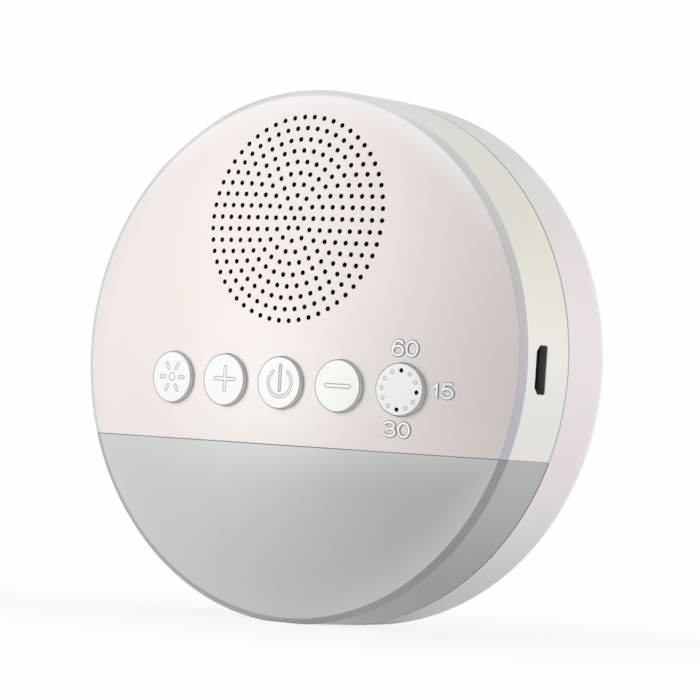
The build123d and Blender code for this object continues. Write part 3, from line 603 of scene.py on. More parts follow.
# ---------------------------------------------------------------- mesh building
class Skin:
    """Faces of one piece in the drum's frame, with normals worked out from its shape."""

    def __init__(self, finish):
        self.finish = finish
        self.points, self.normals, self.faces, self.finishes = [], [], [], []

    def row(self, pairs):
        """Adds points with their normals and returns their numbers."""
        first = len(self.points)
        for point, normal in pairs:
            self.points.append(Vector(point))
            self.normals.append(Vector(normal).normalized())
        return list(range(first, len(self.points)))

    def copy(self, row, ways, by=Vector()):
        """Another row at the points of this one, or moved, with these normals."""
        return self.row((self.points[i] + by, way) for i, way in zip(row, ways))

    def face(self, corners, finish=None):
        """Adds a face, turned the way its normals point, unless it has no area."""
        a, b, c = (self.points[i] for i in corners[:3])
        if len(corners) == 4:
            across = (c - a).cross(self.points[corners[3]] - b)
        else:
            across = (b - a).cross(c - a)
        if across.length_squared == 0:
            return
        facing = sum((self.normals[i] for i in corners), Vector())
        self.faces.append(tuple(corners) if across.dot(facing) > 0 else tuple(reversed(corners)))
        self.finishes.append(finish or self.finish)

    def bridge(self, one, other, closed=False, finish=None):
        """Strip of quads between two rows."""
        count = len(one)
        for i in range(count if closed else count - 1):
            j = (i + 1) % count
            self.face((one[i], one[j], other[j], other[i]), finish)

    def floor(self, row, facing, finish=None):
        """Flat floor within a closed row."""
        middle = sum((self.points[i] for i in row), Vector()) / len(row)
        around = self.copy(row, [facing] * len(row))
        centre = self.row([(middle, facing)])[0]
        for one, other in zip(around, around[1:] + around[:1]):
            self.face((one, other, centre), finish)

    def piece(self, name, body, nodes=(), bend=None):
        """Object of the skin, attached to its body; given bend (another body and two points), it is left
        unattached with its transform baked instead, and nothing bends.
        """
        mesh = bpy.data.meshes.new(name)
        mesh.from_pydata([metres(p) for p in self.points], [], self.faces)
        numbers = {finish: i for i, finish in enumerate(dict.fromkeys(self.finishes))}
        for finish in numbers:
            mesh.materials.append(finish)
        mesh.polygons.foreach_set("material_index", [numbers[finish] for finish in self.finishes])
        mesh.polygons.foreach_set("use_smooth", [True] * len(self.faces))
        mesh.normals_split_custom_set_from_vertices(self.normals)
        mesh.update()
        made = add_object(name, mesh)
        if bend:
            other, start, end = bend
            metres(start)
            metres(end)
            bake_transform(made)
        else:
            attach(made, body)
        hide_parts(*nodes)


def face_sheet(skin, rim_row, cut, hollows, spots, surface=dome, finish=None):
    """Triangles over a surface between a rim row, points along a cut and hollows.

    Returns the row of the cut, and for each hollow the rows of its edges.
    """

    def put(places):
        return skin.row(surface(*place) for place in places)

    outline = [(skin.points[i].x, skin.points[i].z) for i in rim_row] + cut
    cut_row = put(cut)
    loop_rows = [[put(loop) for loop in pair if loop] for pair in hollows]
    numbers = [*rim_row, *cut_row, *(i for rows in loop_rows for row in rows for i in row), *put(spots)]
    for corners in flat_triangles(outline, hollows, spots):
        skin.face([numbers[i] for i in corners], finish)
    return cut_row, loop_rows


def lip(skin, row, ways, size, deep, finish=None, wall=None, steps=3):
    """Rounded edge beside a closed row, turning towards `ways`, and the wall beyond it; returns its end."""
    normals = [skin.normals[number].copy() for number in row]
    points = [skin.points[number].copy() for number in row]
    sides = [(way - n * way.dot(n)).normalized() for way, n in zip(ways, normals)]
    last = row
    for k in range(1, steps + 1):
        along, across = cos(pi / 2 * k / steps), sin(pi / 2 * k / steps)
        made = skin.row(
            (p - n * size + (n * along + side * across) * size, n * along + side * across)
            for p, n, side in zip(points, normals, sides)
        )
        skin.bridge(last, made, True, finish)
        last = made
    bottom = skin.copy(last, ways, deep)
    skin.bridge(skin.copy(last, ways), bottom, True, wall)
    return bottom


def groove(skin, rows, depth, finish):
    """Groove with sloping sides between an outer row and an island's row."""
    low = []
    for one, other in zip(*rows):
        normal = (skin.normals[one] + skin.normals[other]).normalized()
        low.append(((skin.points[one] + skin.points[other]) / 2 - normal * depth, normal))
    bottom = skin.row(low)
    for row in rows:
        skin.bridge(skin.copy(row, [skin.normals[i] for i in row]), bottom, True, finish)


def spun(place, spot, turn):
    """Point at a (radius, y) about the line along Y through a place; y is None in the wall of the face."""
    x, z = polar(place, spot[0], turn)
    return x, dome(x, z, WALL / 2)[0].y if spot[1] is None else spot[1], z


def spun_row(skin, place, spot, way, turns):
    """Row of a (radius, y) at several turns, with its normal turned too."""
    return skin.row((spun(place, spot, t), (way[0] * cos(t), way[1], way[0] * sin(t))) for t in turns)


def turned(skin, place, profile, count=48):
    """Surface of revolution about the line along Y through a place."""
    turns = [2 * pi * i / count for i in range(count)]
    for pair in zip(profile, profile[1:]):
        (r0, y0), (r1, y1) = ((radius, WALL if y is None else y) for radius, y in pair)
        size = hypot(r1 - r0, y1 - y0)
        way = ((y1 - y0) / size, (r0 - r1) / size)
        skin.bridge(*(spun_row(skin, place, spot, way, turns) for spot in pair), True)


def block(skin, *limits):
    """Six faces of a box between the given limits along X, Y and Z."""
    for axis in range(3):
        one, other = (k for k in range(3) if k != axis)
        for side in (0, 1):
            normal = Vector()
            normal[axis] = 2 * side - 1
            corners = []
            for i, j in ((0, 0), (1, 0), (1, 1), (0, 1)):
                point = Vector()
                point[axis], point[one], point[other] = limits[axis][side], limits[one][i], limits[other][j]
                corners.append((point, normal))
            skin.face(skin.row(corners))


# ---------------------------------------------------------------- casing, front half
RIM_SEGMENTS = 232
ROUND_STEPS = 5
ROUNDS = (0.2, 0.14, 0.12)               # tangents at the face's edge, the bevel's outer edge and the seam
SIDE_ROW = 2 * (ROUND_STEPS + 1) - 1     # the side wall lies between this row and the next
PORT_MIDDLE = (SEAM_Y - 8.4, -0.15)
PORT_HALF = (1.7, 4.28)
PORT_SLOPE = 1.125                       # its two front corners are cut off by this
PORT_ROUND = 0.35
PORT_LIP = 0.15
EDGE_ROOM = 1.5                          # between the grid of the face and its split
FINE_GRID, COARSE_GRID = 4.0, 6.0
POLE = 0.01                              # a turned end is closed down to this radius


def grille_places():
    places = [GRILLE]
    for ring in range(1, GRILLE_RINGS + 1):
        places += offset(circle(GRILLE, ring * GRILLE_PITCH, 6 * ring))
    return places


def front_profile():
    """Outer surface from the edge of the dome round to the inner edge at the seam: (radius, y) and normal."""
    path = [dome(FACE_RADIUS - 1.2, 0)[0].xy, dome(FACE_RADIUS, 0)[0].xy]
    path += [Vector(p) for p in ((RIM_RADIUS, RIM_Y), (SEAM_RADIUS, SEAM_Y), (SEAM_RADIUS - WALL, SEAM_Y))]
    profile = []
    for *corner, tangent in zip(path, path[1:], path[2:], ROUNDS):
        profile += corner_arc(*corner, ROUND_STEPS, tangent=tangent)
    return profile + [(path[-1], Vector((0, 1)))]


def inner_profile():
    point, normal = inner_face(FACE_RADIUS - WALL, 0)
    rim_y = point.y + BEVEL_DEPTH
    return [
        (point.xy, normal.xy),
        (Vector((RIM_RADIUS - WALL, rim_y)), Vector((-1, 0.3)).normalized()),
        (Vector((RIM_RADIUS - WALL, rim_y + 0.3)), Vector((-1, 0))),
        (Vector((SEAM_RADIUS - WALL, SEAM_Y)), Vector((-1, 0))),
    ]


def ring_turns(radius, slope, level, upper):
    """Turns of a ring's points from one end of the cut at this level to the other."""
    side = 1 if upper else -1
    first = asin(max(-1.0, (level + CUT_ROUND * (1 + slope * level / radius) * side) / radius))
    sweep = side * pi - 2 * first
    return [first + sweep * i / RIM_SEGMENTS for i in range(RIM_SEGMENTS + 1)]


def on_ring(place, normal, turn, lowest):
    """A place of the profile turned about the drum's axis, or the flat foot where that would lie below it."""
    x, z = polar((0, 0), place.x, turn)
    if z < lowest:
        return (x, place.y, lowest), (0, 0, -1 if lowest == STAND_Z else 1)
    return (x, place.y, z), (normal.x * cos(turn), normal.y, normal.x * sin(turn))


def half_face(skin, profile, level, upper, hollows, spots, surface=dome, lowest=STAND_Z):
    """Rows of a profile turned round one side of the cut, and the face within the first of them.

    Returns the rows, the row of the cut across the face, and the rows of each hollow.
    """
    outer = surface is dome
    rows = []
    for place, normal in profile:
        turns = ring_turns(place.x, normal.x if outer else 0, level, upper)
        rows.append(skin.row(on_ring(place, normal, turn, lowest) for turn in turns))
    ends = [(skin.points[rows[0][i]].x, skin.points[rows[0][i]].z) for i in (-1, 0)]
    return rows, *face_sheet(skin, rows[0], between(*ends, 24 if outer else 12), hollows, spots, surface)


def skirt(skin, row, upper):
    """Rounded edge beside a row along the split, and the flat land behind it."""
    down = Vector((0, 0, -1 if upper else 1))
    pairs = [(skin.points[i].copy(), skin.normals[i].copy()) for i in row]
    for k in range(1, 4):
        made = []
        for point, normal in pairs:
            mixed = normal.slerp(down, k / 3) if normal.angle(down) < 3.1 else normal
            made.append((point + (mixed - normal) * CUT_ROUND, mixed))
        made = skin.row(made)
        skin.bridge(row, made)
        row = made
    inwards = [Vector((-normal.x, -normal.y, 0)).normalized() * WALL for _, normal in pairs]
    inner = skin.row((skin.points[i] + way, down) for i, way in zip(row, inwards))
    skin.bridge(skin.copy(row, [down] * len(row)), inner)


def front_half(skin, level, upper, hollows, spots, port=False):
    """Outer surface of the white shell or the lens: dome, rim, side wall, seam edge and cut edge."""
    rows, cut_row, loop_rows = half_face(skin, front_profile(), level, upper, hollows, spots)
    for number, pair in enumerate(zip(rows, rows[1:])):
        if port and number == SIDE_ROW:
            port_wall(skin, *pair)
        else:
            skin.bridge(*pair)
    skirt(skin, [rows[0][-1], *cut_row, rows[0][0]], upper)
    for end in (0, -1):
        skirt(skin, [row[end] for row in rows[:-1]], upper)
    return loop_rows


def inner_half(skin, level, upper, hollows, spots):
    """Inner surface of the same half."""
    rows = half_face(skin, inner_profile(), level, upper, hollows, spots, inner_face, STAND_Z + WALL)[0]
    for pair in zip(rows, rows[1:]):
        skin.bridge(*pair)


def side_point(z, y):
    """Point and normal of the right-hand side wall of the front half."""
    slope = DRAFT / (SEAM_Y - RIM_Y)
    radius = RIM_RADIUS + slope * (y - RIM_Y)
    x = sqrt(radius**2 - z**2)
    return (x, y, z), (x / radius, -slope, z / radius)


def port_wall(skin, one, other):
    """Side wall between two rows with the opening of the micro USB socket."""
    (y, z), (half_y, half_z) = PORT_MIDDLE, PORT_HALF
    reach = half_z + 2.5
    right = [skin.points[i].z for i in one[: len(one) // 2]]
    first = max(i for i, height in enumerate(right) if height < z - reach)
    last = min(i for i, height in enumerate(right) if height > z + reach)
    skin.bridge(one[: first + 1], other[: first + 1])
    skin.bridge(one[last:], other[last:])
    front, back, low, high = y - half_y, y + half_y, z - half_z, z + half_z
    corners = [(low + PORT_SLOPE, front), (high - PORT_SLOPE, front), (high, front + PORT_SLOPE)]
    corners += [(high, back), (low, back), (low, front + PORT_SLOPE)]
    loop = rounded_outline(corners, [PORT_ROUND] * len(corners))
    grown = offset(loop, PORT_LIP)
    edge = one[first : last + 1] + other[first : last + 1][::-1]
    numbers = edge + skin.row(side_point(*p) for p in grown)
    outline = [(skin.points[i].z, skin.points[i].y) for i in edge]
    for triangle in flat_triangles(outline, [(grown, None)], []):
        skin.face([numbers[i] for i in triangle])
    ways = [Vector((0, -way[1], -way[0])) for _, way in loop]
    # the opening's walls are in grey painted as shade
    lip(skin, numbers[len(edge) :], ways, PORT_LIP, Vector((-WALL, 0, 0)), wall=PORT_WALL_SHADE)


def post(radius, end_y, pilot_radius, pilot_y):
    """Profile of a screw post with its pilot hole."""
    return [(radius, None), (radius, end_y), (pilot_radius, end_y), (pilot_radius, pilot_y), (POLE, pilot_y)]


def shell_fittings(skin):
    """Button guides, screw posts and the speaker's seat behind the face."""
    seat = FLANGE_RADIUS + BORE_RADIUS - CAP_RADIUS
    guide = [(GUIDE_RADIUS, None), (GUIDE_RADIUS, GUIDE_END_Y), (seat, GUIDE_END_Y)]
    guide += [(seat, SEAT_Y), (BORE_RADIUS, SEAT_Y), (BORE_RADIUS, None)]
    for place in CAPS.values():
        turned(skin, place, guide)
    for place in BOARD_POSTS:
        turned(skin, place, post(2.0, BOARD_Y, 0.9, 8.4), 32)
    for place in CASE_SCREWS:
        turned(skin, place, post(2.8, 20.0, 1.1, 13.1), 32)
    turned(skin, GRILLE, SPEAKER_SEAT, 96)
    for place in SPEAKER_POSTS:
        turned(skin, place, post(2.0, 8.4, 0.9, 4.9), 32)


def clear_of_openings(x, z):
    """True on the white part of the face away from its split, grille and bores."""
    return (
        z > SPLIT_Z + EDGE_ROOM
        and dist((x, z), GRILLE) > GRILLE_RINGS * GRILLE_PITCH + 1.0
        and all(dist((x, z), cap) > BORE_RADIUS + 0.8 for cap in CAPS.values())
    )


def white_shell():
    skin = Skin(WHITE)
    deep = Vector((0, WALL + 0.1, 0))

    def openings(rounds):
        holes = [circle(place, HOLE_RADIUS + HOLE_ROUND * rounds, 20) for place in grille_places()]
        bores = [circle(place, BORE_EDGE + BORE_ROUND * rounds, 96) for place in CAPS.values()]
        return holes, bores

    holes, bores = openings(1)
    hollows = [(offset(loop), None) for loop in holes + bores]
    spots = hex_spots(FACE_RADIUS - 2.2, FINE_GRID, clear_of_openings)
    rows = [pair[0] for pair in front_half(skin, SPLIT_Z, True, hollows, spots, True)]
    for loop, row in zip(holes, rows):
        # the holes' walls are painted black as shade
        lip(skin, row, ways_of(loop, -1), HOLE_ROUND, deep, wall=HOLE_SHADE)
    for loop, row in zip(bores, rows[len(holes) :]):
        lip(skin, row, ways_of(loop, -1), BORE_ROUND, deep)
    hollows = [(offset(loop), None) for loops in openings(0) for loop in loops]
    spots = hex_spots(FACE_RADIUS - WALL - EDGE_ROOM, COARSE_GRID, clear_of_openings)
    inner_half(skin, SPLIT_Z, True, hollows, spots)
    shell_fittings(skin)
    skin.piece("front_shell_skin", "housing", ["front_shell"])


def lens_shell():
    skin = Skin(LENS)
    for half, pitch in ((front_half, FINE_GRID), (inner_half, COARSE_GRID)):
        spots = hex_spots(FACE_RADIUS - 3.7, pitch, lambda x, z: z < LENS_Z - EDGE_ROOM)
        half(skin, LENS_Z, False, [], spots)
    skin.piece("night_light_lens_skin", "housing", ["night_light_lens"])


# ---------------------------------------------------------------- button caps
LINE_WIDTH = 0.17
TIMER_LINE_WIDTH = 0.136
LINE_DEPTH = 0.09
EDGE_ROUND = 0.06
EDGE_LINE = 0.15
EDGE_DROP = 0.02
CAP_SIDE = 0.6
DOT_DEPTH = 0.02
SPOT_ROOM = 0.25
CAP_SEGMENTS = 96


def capsule(place, half, radius, angle):
    """Round-ended bar; half is the length from its middle to the centre of an end."""
    loop = []
    for turn in (angle, angle + pi):
        loop += arc(polar(place, half, turn), radius, turn - pi / 2, turn + pi / 2, 6)
    return loop


def open_ring(place, radius, half, gap, count=40):
    """Band along a circle, open at the top by `gap` to each side, with round ends."""
    first, last = pi / 2 + gap, 5 * pi / 2 - gap
    inner = arc(place, radius - half, last, first, count)
    return [
        *arc(place, radius + half, first, last, count),
        *arc(polar(place, radius, last), half, last, last + pi, 6)[1:-1],
        *((p, (-way[0], -way[1])) for p, way in inner),
        *arc(polar(place, radius, first), half, first + pi, first + 2 * pi, 6)[1:-1],
    ]


def cross(place, half_x, half_z, half):
    """Plus sign with rounded corners."""
    arm = [(half, half), (half, half_z), (-half, half_z), (-half, half), (-half_x, half), (-half_x, -half)]
    corners = [(place[0] + side * a, place[1] + side * b) for side in (1, -1) for a, b in arm]
    return rounded_outline(corners, [0.12, 0.2, 0.2] * 4)


def icon(name, place):
    """Marks in the cap's face, each with the finish of its island if that differs, and the black dots."""
    x, z = place
    if name == "light":
        sun = (x + 0.1, z)
        rays = [capsule(polar(sun, 2.25, k * pi / 3), 0.5, 0.25, k * pi / 3) for k in range(6)]
        return [(loop, None) for loop in (circle(sun, 0.7, 24), *rays)], []
    if name == "plus":
        return [(cross((x + 0.3, z + 0.15), 2.4, 2.36, 0.28), None)], []
    if name == "power":
        x += 0.25
        bar = capsule((x, z + 0.85), 2.2, 0.28, pi / 2)
        return [(open_ring((x, z), 2.5, 0.22, radians(38)), None), (bar, SOFT_LINE)], []
    if name == "minus":
        return [(capsule((x + 0.1, z), 2.33, 0.33, 0), None)], []
    hours = [polar((x, z - 0.1), 3.45, pi / 2 - k * pi / 6 - radians(4.5)) for k in range(12)]
    inked = (0, 3, 6)
    marks = [(circle(hour, 0.31, 18), None) for k, hour in enumerate(hours) if k not in inked]
    return marks, [circle(hours[k], 0.4, 20) for k in inked]


def tint_island(skin, row, finish):
    """Gives the face within an island's row its own finish."""
    outline = [(skin.points[i].x, skin.points[i].z) for i in row]
    for i, corners in enumerate(skin.faces):
        if len(corners) == 3 and skin.finishes[i] == skin.finish:
            middle = sum((skin.points[c] for c in corners), Vector()) / 3
            if inside((middle.x, middle.z), outline):
                skin.finishes[i] = finish


def cap_top(skin, name, place, row):
    """Face of a cap within a row, with its engraved marks and printed dots."""
    marks, dots = icon(name, place)
    half = (TIMER_LINE_WIDTH if name == "timer" else LINE_WIDTH) / 2
    hollows = [(offset(loop, half), offset(loop, -half)) for loop, _ in marks]
    hollows += [(offset(loop), None) for loop in dots]

    def free(spot):
        near = (inside(spot, outer) or min(dist(spot, q) for q in outer) <= SPOT_ROOM for outer, _ in hollows)
        return not any(near)

    spots = [spot for ring in range(1, 5) for spot in offset(circle(place, ring, 6 * ring)) if free(spot)]
    _, loop_rows = face_sheet(skin, row, [], hollows, spots, cap_face)
    for (_, finish), rows in zip(marks, loop_rows):
        # the grooves of the marks are in the grey of painted shade
        groove(skin, rows, LINE_DEPTH, SHADE_LINE)
        if finish:
            tint_island(skin, rows[1], finish)
    for loop, rows in zip(dots, loop_rows[len(marks) :]):
        ways = ways_of(loop, -1)
        floor = lip(skin, rows[0], ways, DOT_DEPTH, Vector((0, DOT_DEPTH, 0)), PRINT, PRINT, 2)
        skin.floor(floor, Vector((0, -1, 0)), PRINT)


def cap(name):
    """Hollow cap: its face, rounded edge, side, flange with the key, and pusher."""
    place = CAPS[name]
    skin = Skin(CAP_GREY if name == "timer" else CAP_WHITE)
    loop = circle(place, CAP_RADIUS - EDGE_ROUND - EDGE_LINE, CAP_SEGMENTS)
    ways = ways_of(loop)
    row = skin.row(cap_face(*p) for p, _ in loop)
    cap_top(skin, name, place, row)
    drop = Vector((0, EDGE_DROP, 0))
    # the ring round the face and the rounded edge beyond it are in the grey of painted shade
    edge = skin.row((skin.points[i] + way * EDGE_LINE + drop, skin.normals[i]) for i, way in zip(row, ways))
    skin.bridge(row, edge, True, SHADE_LINE)
    foot = lip(skin, edge, ways, EDGE_ROUND, Vector((0, CAP_SIDE, 0)), SHADE_LINE, steps=4)
    turns = [2 * pi * i / CAP_SEGMENTS for i in range(CAP_SEGMENTS)]
    skin.bridge(foot, spun_row(skin, place, (CAP_RADIUS, FLANGE_Y), (1, 0), turns), True)
    inner = CAP_RADIUS - CAP_WALL
    hollow_y = dome(*place)[0].y + CAP_WALL
    profile = [(CAP_RADIUS, FLANGE_Y), (FLANGE_RADIUS - CHAMFER, FLANGE_Y)]
    profile += [(FLANGE_RADIUS, FLANGE_Y + CHAMFER), (FLANGE_RADIUS, FLANGE_END_Y), (inner, FLANGE_END_Y)]
    profile += [(inner, hollow_y), (PUSHER_RADIUS, hollow_y), (PUSHER_RADIUS, PUSHER_Y - CHAMFER)]
    profile += [(PUSHER_RADIUS - CHAMFER, PUSHER_Y), (POLE, PUSHER_Y)]
    turned(skin, place, profile)
    x, z = place
    key_z = [z - reach for reach in KEY_REACH]
    block(skin, (x - KEY_HALF, x + KEY_HALF), (FLANGE_Y, FLANGE_END_Y), key_z)
    skin.piece(f"{name}_button_cap", f"{name}_key", [f"{name}_button"])


# ---------------------------------------------------------------- case screws
HEAD_TOP_Y = 23.9
HEAD_RADIUS = 2.2
HEAD_ROUND = 0.5
HEAD_SIDE = 0.9
HEAD_UNDER_Y = HEAD_TOP_Y - 1.8
RECESS = (1.25, 1.25, 0.28)
RECESS_DEPTH = 0.8
SHANK_RADIUS = 0.85
THREAD_RADIUS = 1.1
THREAD_PITCH = 0.65
THREAD_TURNS = 12


def flat_back(x, z):
    return (x, HEAD_TOP_Y, z), (0, 1, 0)


def screw_profile():
    """Underside of the head, thread and point."""
    profile = [(HEAD_RADIUS, HEAD_UNDER_Y + 0.4), (HEAD_RADIUS, HEAD_UNDER_Y), (0.9, HEAD_UNDER_Y)]
    for turn in range(THREAD_TURNS):
        y = HEAD_UNDER_Y - 0.4 - turn * THREAD_PITCH
        profile += [(SHANK_RADIUS, y), (THREAD_RADIUS, y - 0.3)]
    return profile + [(0.3, HEAD_UNDER_Y - 8.8), (POLE, HEAD_UNDER_Y - 9.0)]


def case_screws():
    """Pan-head screws with a cross recess, seen down their holes in the back."""
    skin = Skin(STEEL)
    for place in CASE_SCREWS:
        rim = circle(place, HEAD_RADIUS - HEAD_ROUND, 48)
        recess = cross(place, *RECESS)
        row = skin.row(flat_back(*p) for p, _ in rim)
        _, rows = face_sheet(skin, row, [], [(offset(recess), None)], [], flat_back)
        lip(skin, row, ways_of(rim), HEAD_ROUND, Vector((0, -HEAD_SIDE, 0)), steps=5)
        deep = Vector((0, -RECESS_DEPTH, 0))
        # the recess's walls and floor are in steel painted near-black as shade
        floor = lip(skin, rows[0][0], ways_of(recess, -1), 0.05, deep, wall=STEEL_IN_SHADE)
        skin.floor(floor, Vector((0, 1, 0)), STEEL_IN_SHADE)
        turned(skin, place, screw_profile(), 32)
    skin.piece("case_screw_set", "housing", ["case_screws"])


# ---------------------------------------------------------------- flexing rings of the speaker
SECTORS = 8
SECTOR_STEPS = 8
RING_THICKNESS = 0.4
ROLL_RISE = 1.3
ROLL_STEPS = 12
GLUED = 0.45                   # lip of the surround on the cone
GLUE_RISE = 0.02
SPIDER_WAVE = 0.4
SPIDER_STEPS = 24


def half_width(node):
    low, high = extent(node)
    return (high[0] - low[0]) / 2


def flexing_ring(name, node, finish, line, held):
    """Sectors of a thin ring about the speaker's axis, held by the frame outside and by the cone inside.

    line is the middle of its section as (radius, y) from the inside out; held is a radius handed on to piece()
    with the bend, and nothing moves with the cone.
    """
    line = [Vector(spot) for spot in line]
    sides = ([], [])
    for before, here, after in neighbours(line, False):
        along = (after - before).normalized()
        for side, way in zip(sides, (Vector((along.y, -along.x)), Vector((-along.y, along.x)))):
            side.append((here + way * RING_THICKNESS / 2, way))
    for sector in range(SECTORS):
        skin = Skin(finish)
        turns = [2 * pi * (sector + i / SECTOR_STEPS) / SECTORS for i in range(SECTOR_STEPS + 1)]
        for side in sides:
            rows = [spun_row(skin, GRILLE, *place, turns) for place in side]
            for pair in zip(rows, rows[1:]):
                skin.bridge(*pair)
        for end, out in ((0, -1), (-1, 1)):
            skin.bridge(*(spun_row(skin, GRILLE, side[end][0], (out, 0), turns) for side in sides))
            turn = turns[end]
            across = (-sin(turn) * out, 0, cos(turn) * out)
            skin.bridge(*(skin.row((spun(GRILLE, spot, turn), across) for spot, _ in side) for side in sides))
        middle = 2 * pi * (sector + 0.5) / SECTORS
        outer = line[-1].x * cos(pi / SECTORS)
        start, end = (spun(GRILLE, (radius, line[0].y), middle) for radius in (outer, held))
        skin.piece(f"{name}_{sector + 1}", "housing", [node], ("cone_assembly", start, end))


def surround():
    """Half-round rubber roll from the cone's lip to the frame."""
    inner, outer = half_width("speaker_cone"), half_width("speaker_surround")
    y = extent("speaker_surround")[1][1] - RING_THICKNESS / 2
    line = [(inner - GLUED, y - GLUE_RISE)]
    for share in (i / ROLL_STEPS for i in range(ROLL_STEPS + 1)):
        line.append((inner + (outer - inner) * share, y - ROLL_RISE * sin(pi * share)))
    flexing_ring("speaker_surround_roll", "speaker_surround", RUBBER, line, inner)


def spider():
    """Waved cloth disc from the voice coil to the frame."""
    inner, outer = half_width("speaker_dust_cap"), half_width("speaker_spider")
    y = extent("speaker_spider")[0][1] + RING_THICKNESS / 2
    line = []
    for share in (i / SPIDER_STEPS for i in range(SPIDER_STEPS + 1)):
        line.append((inner + (outer - inner) * share, y + SPIDER_WAVE * (1 - cos(3 * pi * share)) / 2))
    flexing_ring("speaker_spider_disc", "speaker_spider", SPIDER, line, inner)


# ---------------------------------------------------------------- numerals of the timer
# Each digit is drawn by the middle lines of its strokes in a box one wide and one high: an arc is
# (middle x, middle z, half width, half height, from degrees, to degrees), a line is its points.
DIGITS = {
    "0": ([(0.5, 0.5, 0.5, 0.5, 0, 360)], []),
    "1": ([], [[(1.0, 0.0), (1.0, 1.0)], [(1.0, 0.98), (0.72, 0.83), (0.0, 0.66)]]),
    "3": (
        [(0.48, 0.76, 0.44, 0.24, 172, -82), (0.49, 0.27, 0.51, 0.27, 92, -175)],
        [[(0.3, 0.53), (0.58, 0.53)]],
    ),
    "5": ([(0.49, 0.33, 0.51, 0.33, 146, -168)], [[(0.94, 1.0), (0.2, 1.0)], [(0.22, 1.0), (0.06, 0.5)]]),
    "6": (
        [(0.5, 0.32, 0.5, 0.32, 0, 360), (0.54, 0.4, 0.54, 0.6, 180, 90), (0.54, 0.73, 0.42, 0.27, 92, 12)],
        [],
    ),
}
# each digit with the place of its middle, and its width and height over its strokes
NUMERALS = (
    ("6", (24.21, 2.2), (2.52, 2.98)), ("0", (26.95, 2.17), (2.6, 2.98)),
    ("1", (31.82, -4.9), (1.2, 3.1)), ("5", (34.19, -4.86), (2.58, 2.9)),
    ("3", (23.33, -12.04), (2.68, 2.86)), ("0", (26.15, -12.1), (2.55, 2.88)),
)
STROKE = 0.23                  # half the width of a stroke
OUTLINE = 0.14                 # width of the line round it
OUTLINE_PROUD, OUTLINE_ROUND = 0.05, 0.03
STROKE_PROUD, STROKE_ROUND = 0.16, 0.05
INSET = 0.03                   # the flat top ends this far inside the stroke's edge
SINK = 0.05                    # the sides end this deep in the face


def strokes(digit, place, size):
    """Middle lines of a digit's strokes as points with the direction to their left."""
    arcs, lines = DIGITS[digit]
    reach = [length - 2 * STROKE for length in size]
    corner = [middle - length / 2 for middle, length in zip(place, reach)]
    curves = []
    for x, z, half_x, half_z, first, last in arcs:
        count = max(6, int(abs(last - first) / 9))
        turns = [radians(first + (last - first) * i / count) for i in range(count + 1)]
        curves.append([(x + half_x * cos(t), z + half_z * sin(t)) for t in turns])
    runs = []
    for line in curves + lines:
        points = [Vector((corner[0] + a * reach[0], corner[1] + b * reach[1])) for a, b in line]
        ring = (points[0] - points[-1]).length < 0.001
        run = []
        for before, here, after in neighbours(points[:-1] if ring else points, ring):
            ahead = (after - before).normalized()
            run.append((here, Vector((-ahead.y, ahead.x))))
        runs.append(run + run[:1] if ring else run)
    return runs


def outline_area(outline):
    return sum(a[0] * b[1] - b[0] * a[1] for a, b in zip(outline, outline[1:] + outline[:1])) / 2


def stroke_union(runs, half):
    """Outlines of all strokes together, drawn this wide to each side, each with its holes."""
    points, faces = [], []
    for run in runs:
        for (a, across_a), (b, across_b) in zip(run, run[1:]):
            first = len(points)
            points += [a + across_a * half, a - across_a * half, b - across_b * half, b + across_b * half]
            faces.append([first, first + 1, first + 2, first + 3])
    spots, _, triangles, _, _, covered = delaunay_2d_cdt(points, [], faces, 1, 0.003, True)
    follow = {}
    for corners in (triangle for triangle, owners in zip(triangles, covered) if owners):
        for one, other in zip(corners, corners[1:] + corners[:1]):
            follow[(one, other)] = other
    follow = {one: other for one, other in follow if (other, one) not in follow}
    outlines = []
    while follow:
        start = next(iter(follow))
        walk = [start]
        here = follow.pop(start)
        while here != start:
            walk.append(here)
            here = follow.pop(here)
        outlines.append([tuple(spots[i]) for i in walk])
    holes = [outline for outline in outlines if outline_area(outline) < 0]
    outers = [outline for outline in outlines if outline_area(outline) > 0]
    return [(outer, [hole for hole in holes if inside(hole[0], outer)]) for outer in outers]


def with_ways(outline):
    """Loop of an outline; the stroke lies on its left."""
    loop = []
    for before, here, after in neighbours([Vector(p) for p in outline]):
        ahead = ((here - before).normalized() + (after - here).normalized()).normalized()
        loop.append((tuple(here), (ahead.y, -ahead.x)))
    return loop


def raised(skin, runs, half, proud, size, finish=None):
    """Raised strokes: their top, a small round at its edges and the sides down to the face."""

    def surface(x, z):
        return dome(x, z, -proud)

    for outer, holes in stroke_union(runs, half - INSET):
        row = skin.row(surface(*p) for p in outer)
        _, rows = face_sheet(skin, row, [], [(hole, None) for hole in holes], [], surface, finish)
        for outline, numbers in zip([outer, *holes], [row] + [pair[0] for pair in rows]):
            # the rounded edges and the sides are in the grey of painted shade
            lip(skin, numbers, ways_of(with_ways(outline)), size, Vector((0, proud + SINK, 0)), SHADE_LINE, SHADE_LINE, 2)


def numerals():
    """60, 15 and 30 round the timer's cap."""
    skin = Skin(NUMERAL_WHITE)
    for digit, place, size in NUMERALS:
        runs = strokes(digit, place, size)
        # first a low plinth round each stroke, topped in the grey of painted shade
        raised(skin, runs, STROKE + OUTLINE, OUTLINE_PROUD, OUTLINE_ROUND, SHADE_LINE)
        raised(skin, runs, STROKE, STROKE_PROUD, STROKE_ROUND)
    skin.piece("timer_numerals", "housing")


for button in BUTTONS:
    cap(button)
numerals()
case_screws()
surround()
spider()
white_shell()
lens_shell()
for finish, nodes in NODE_FINISHES:
    for node in nodes.split():
        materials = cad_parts[node].data.materials
        materials.clear()
        materials.append(finish)

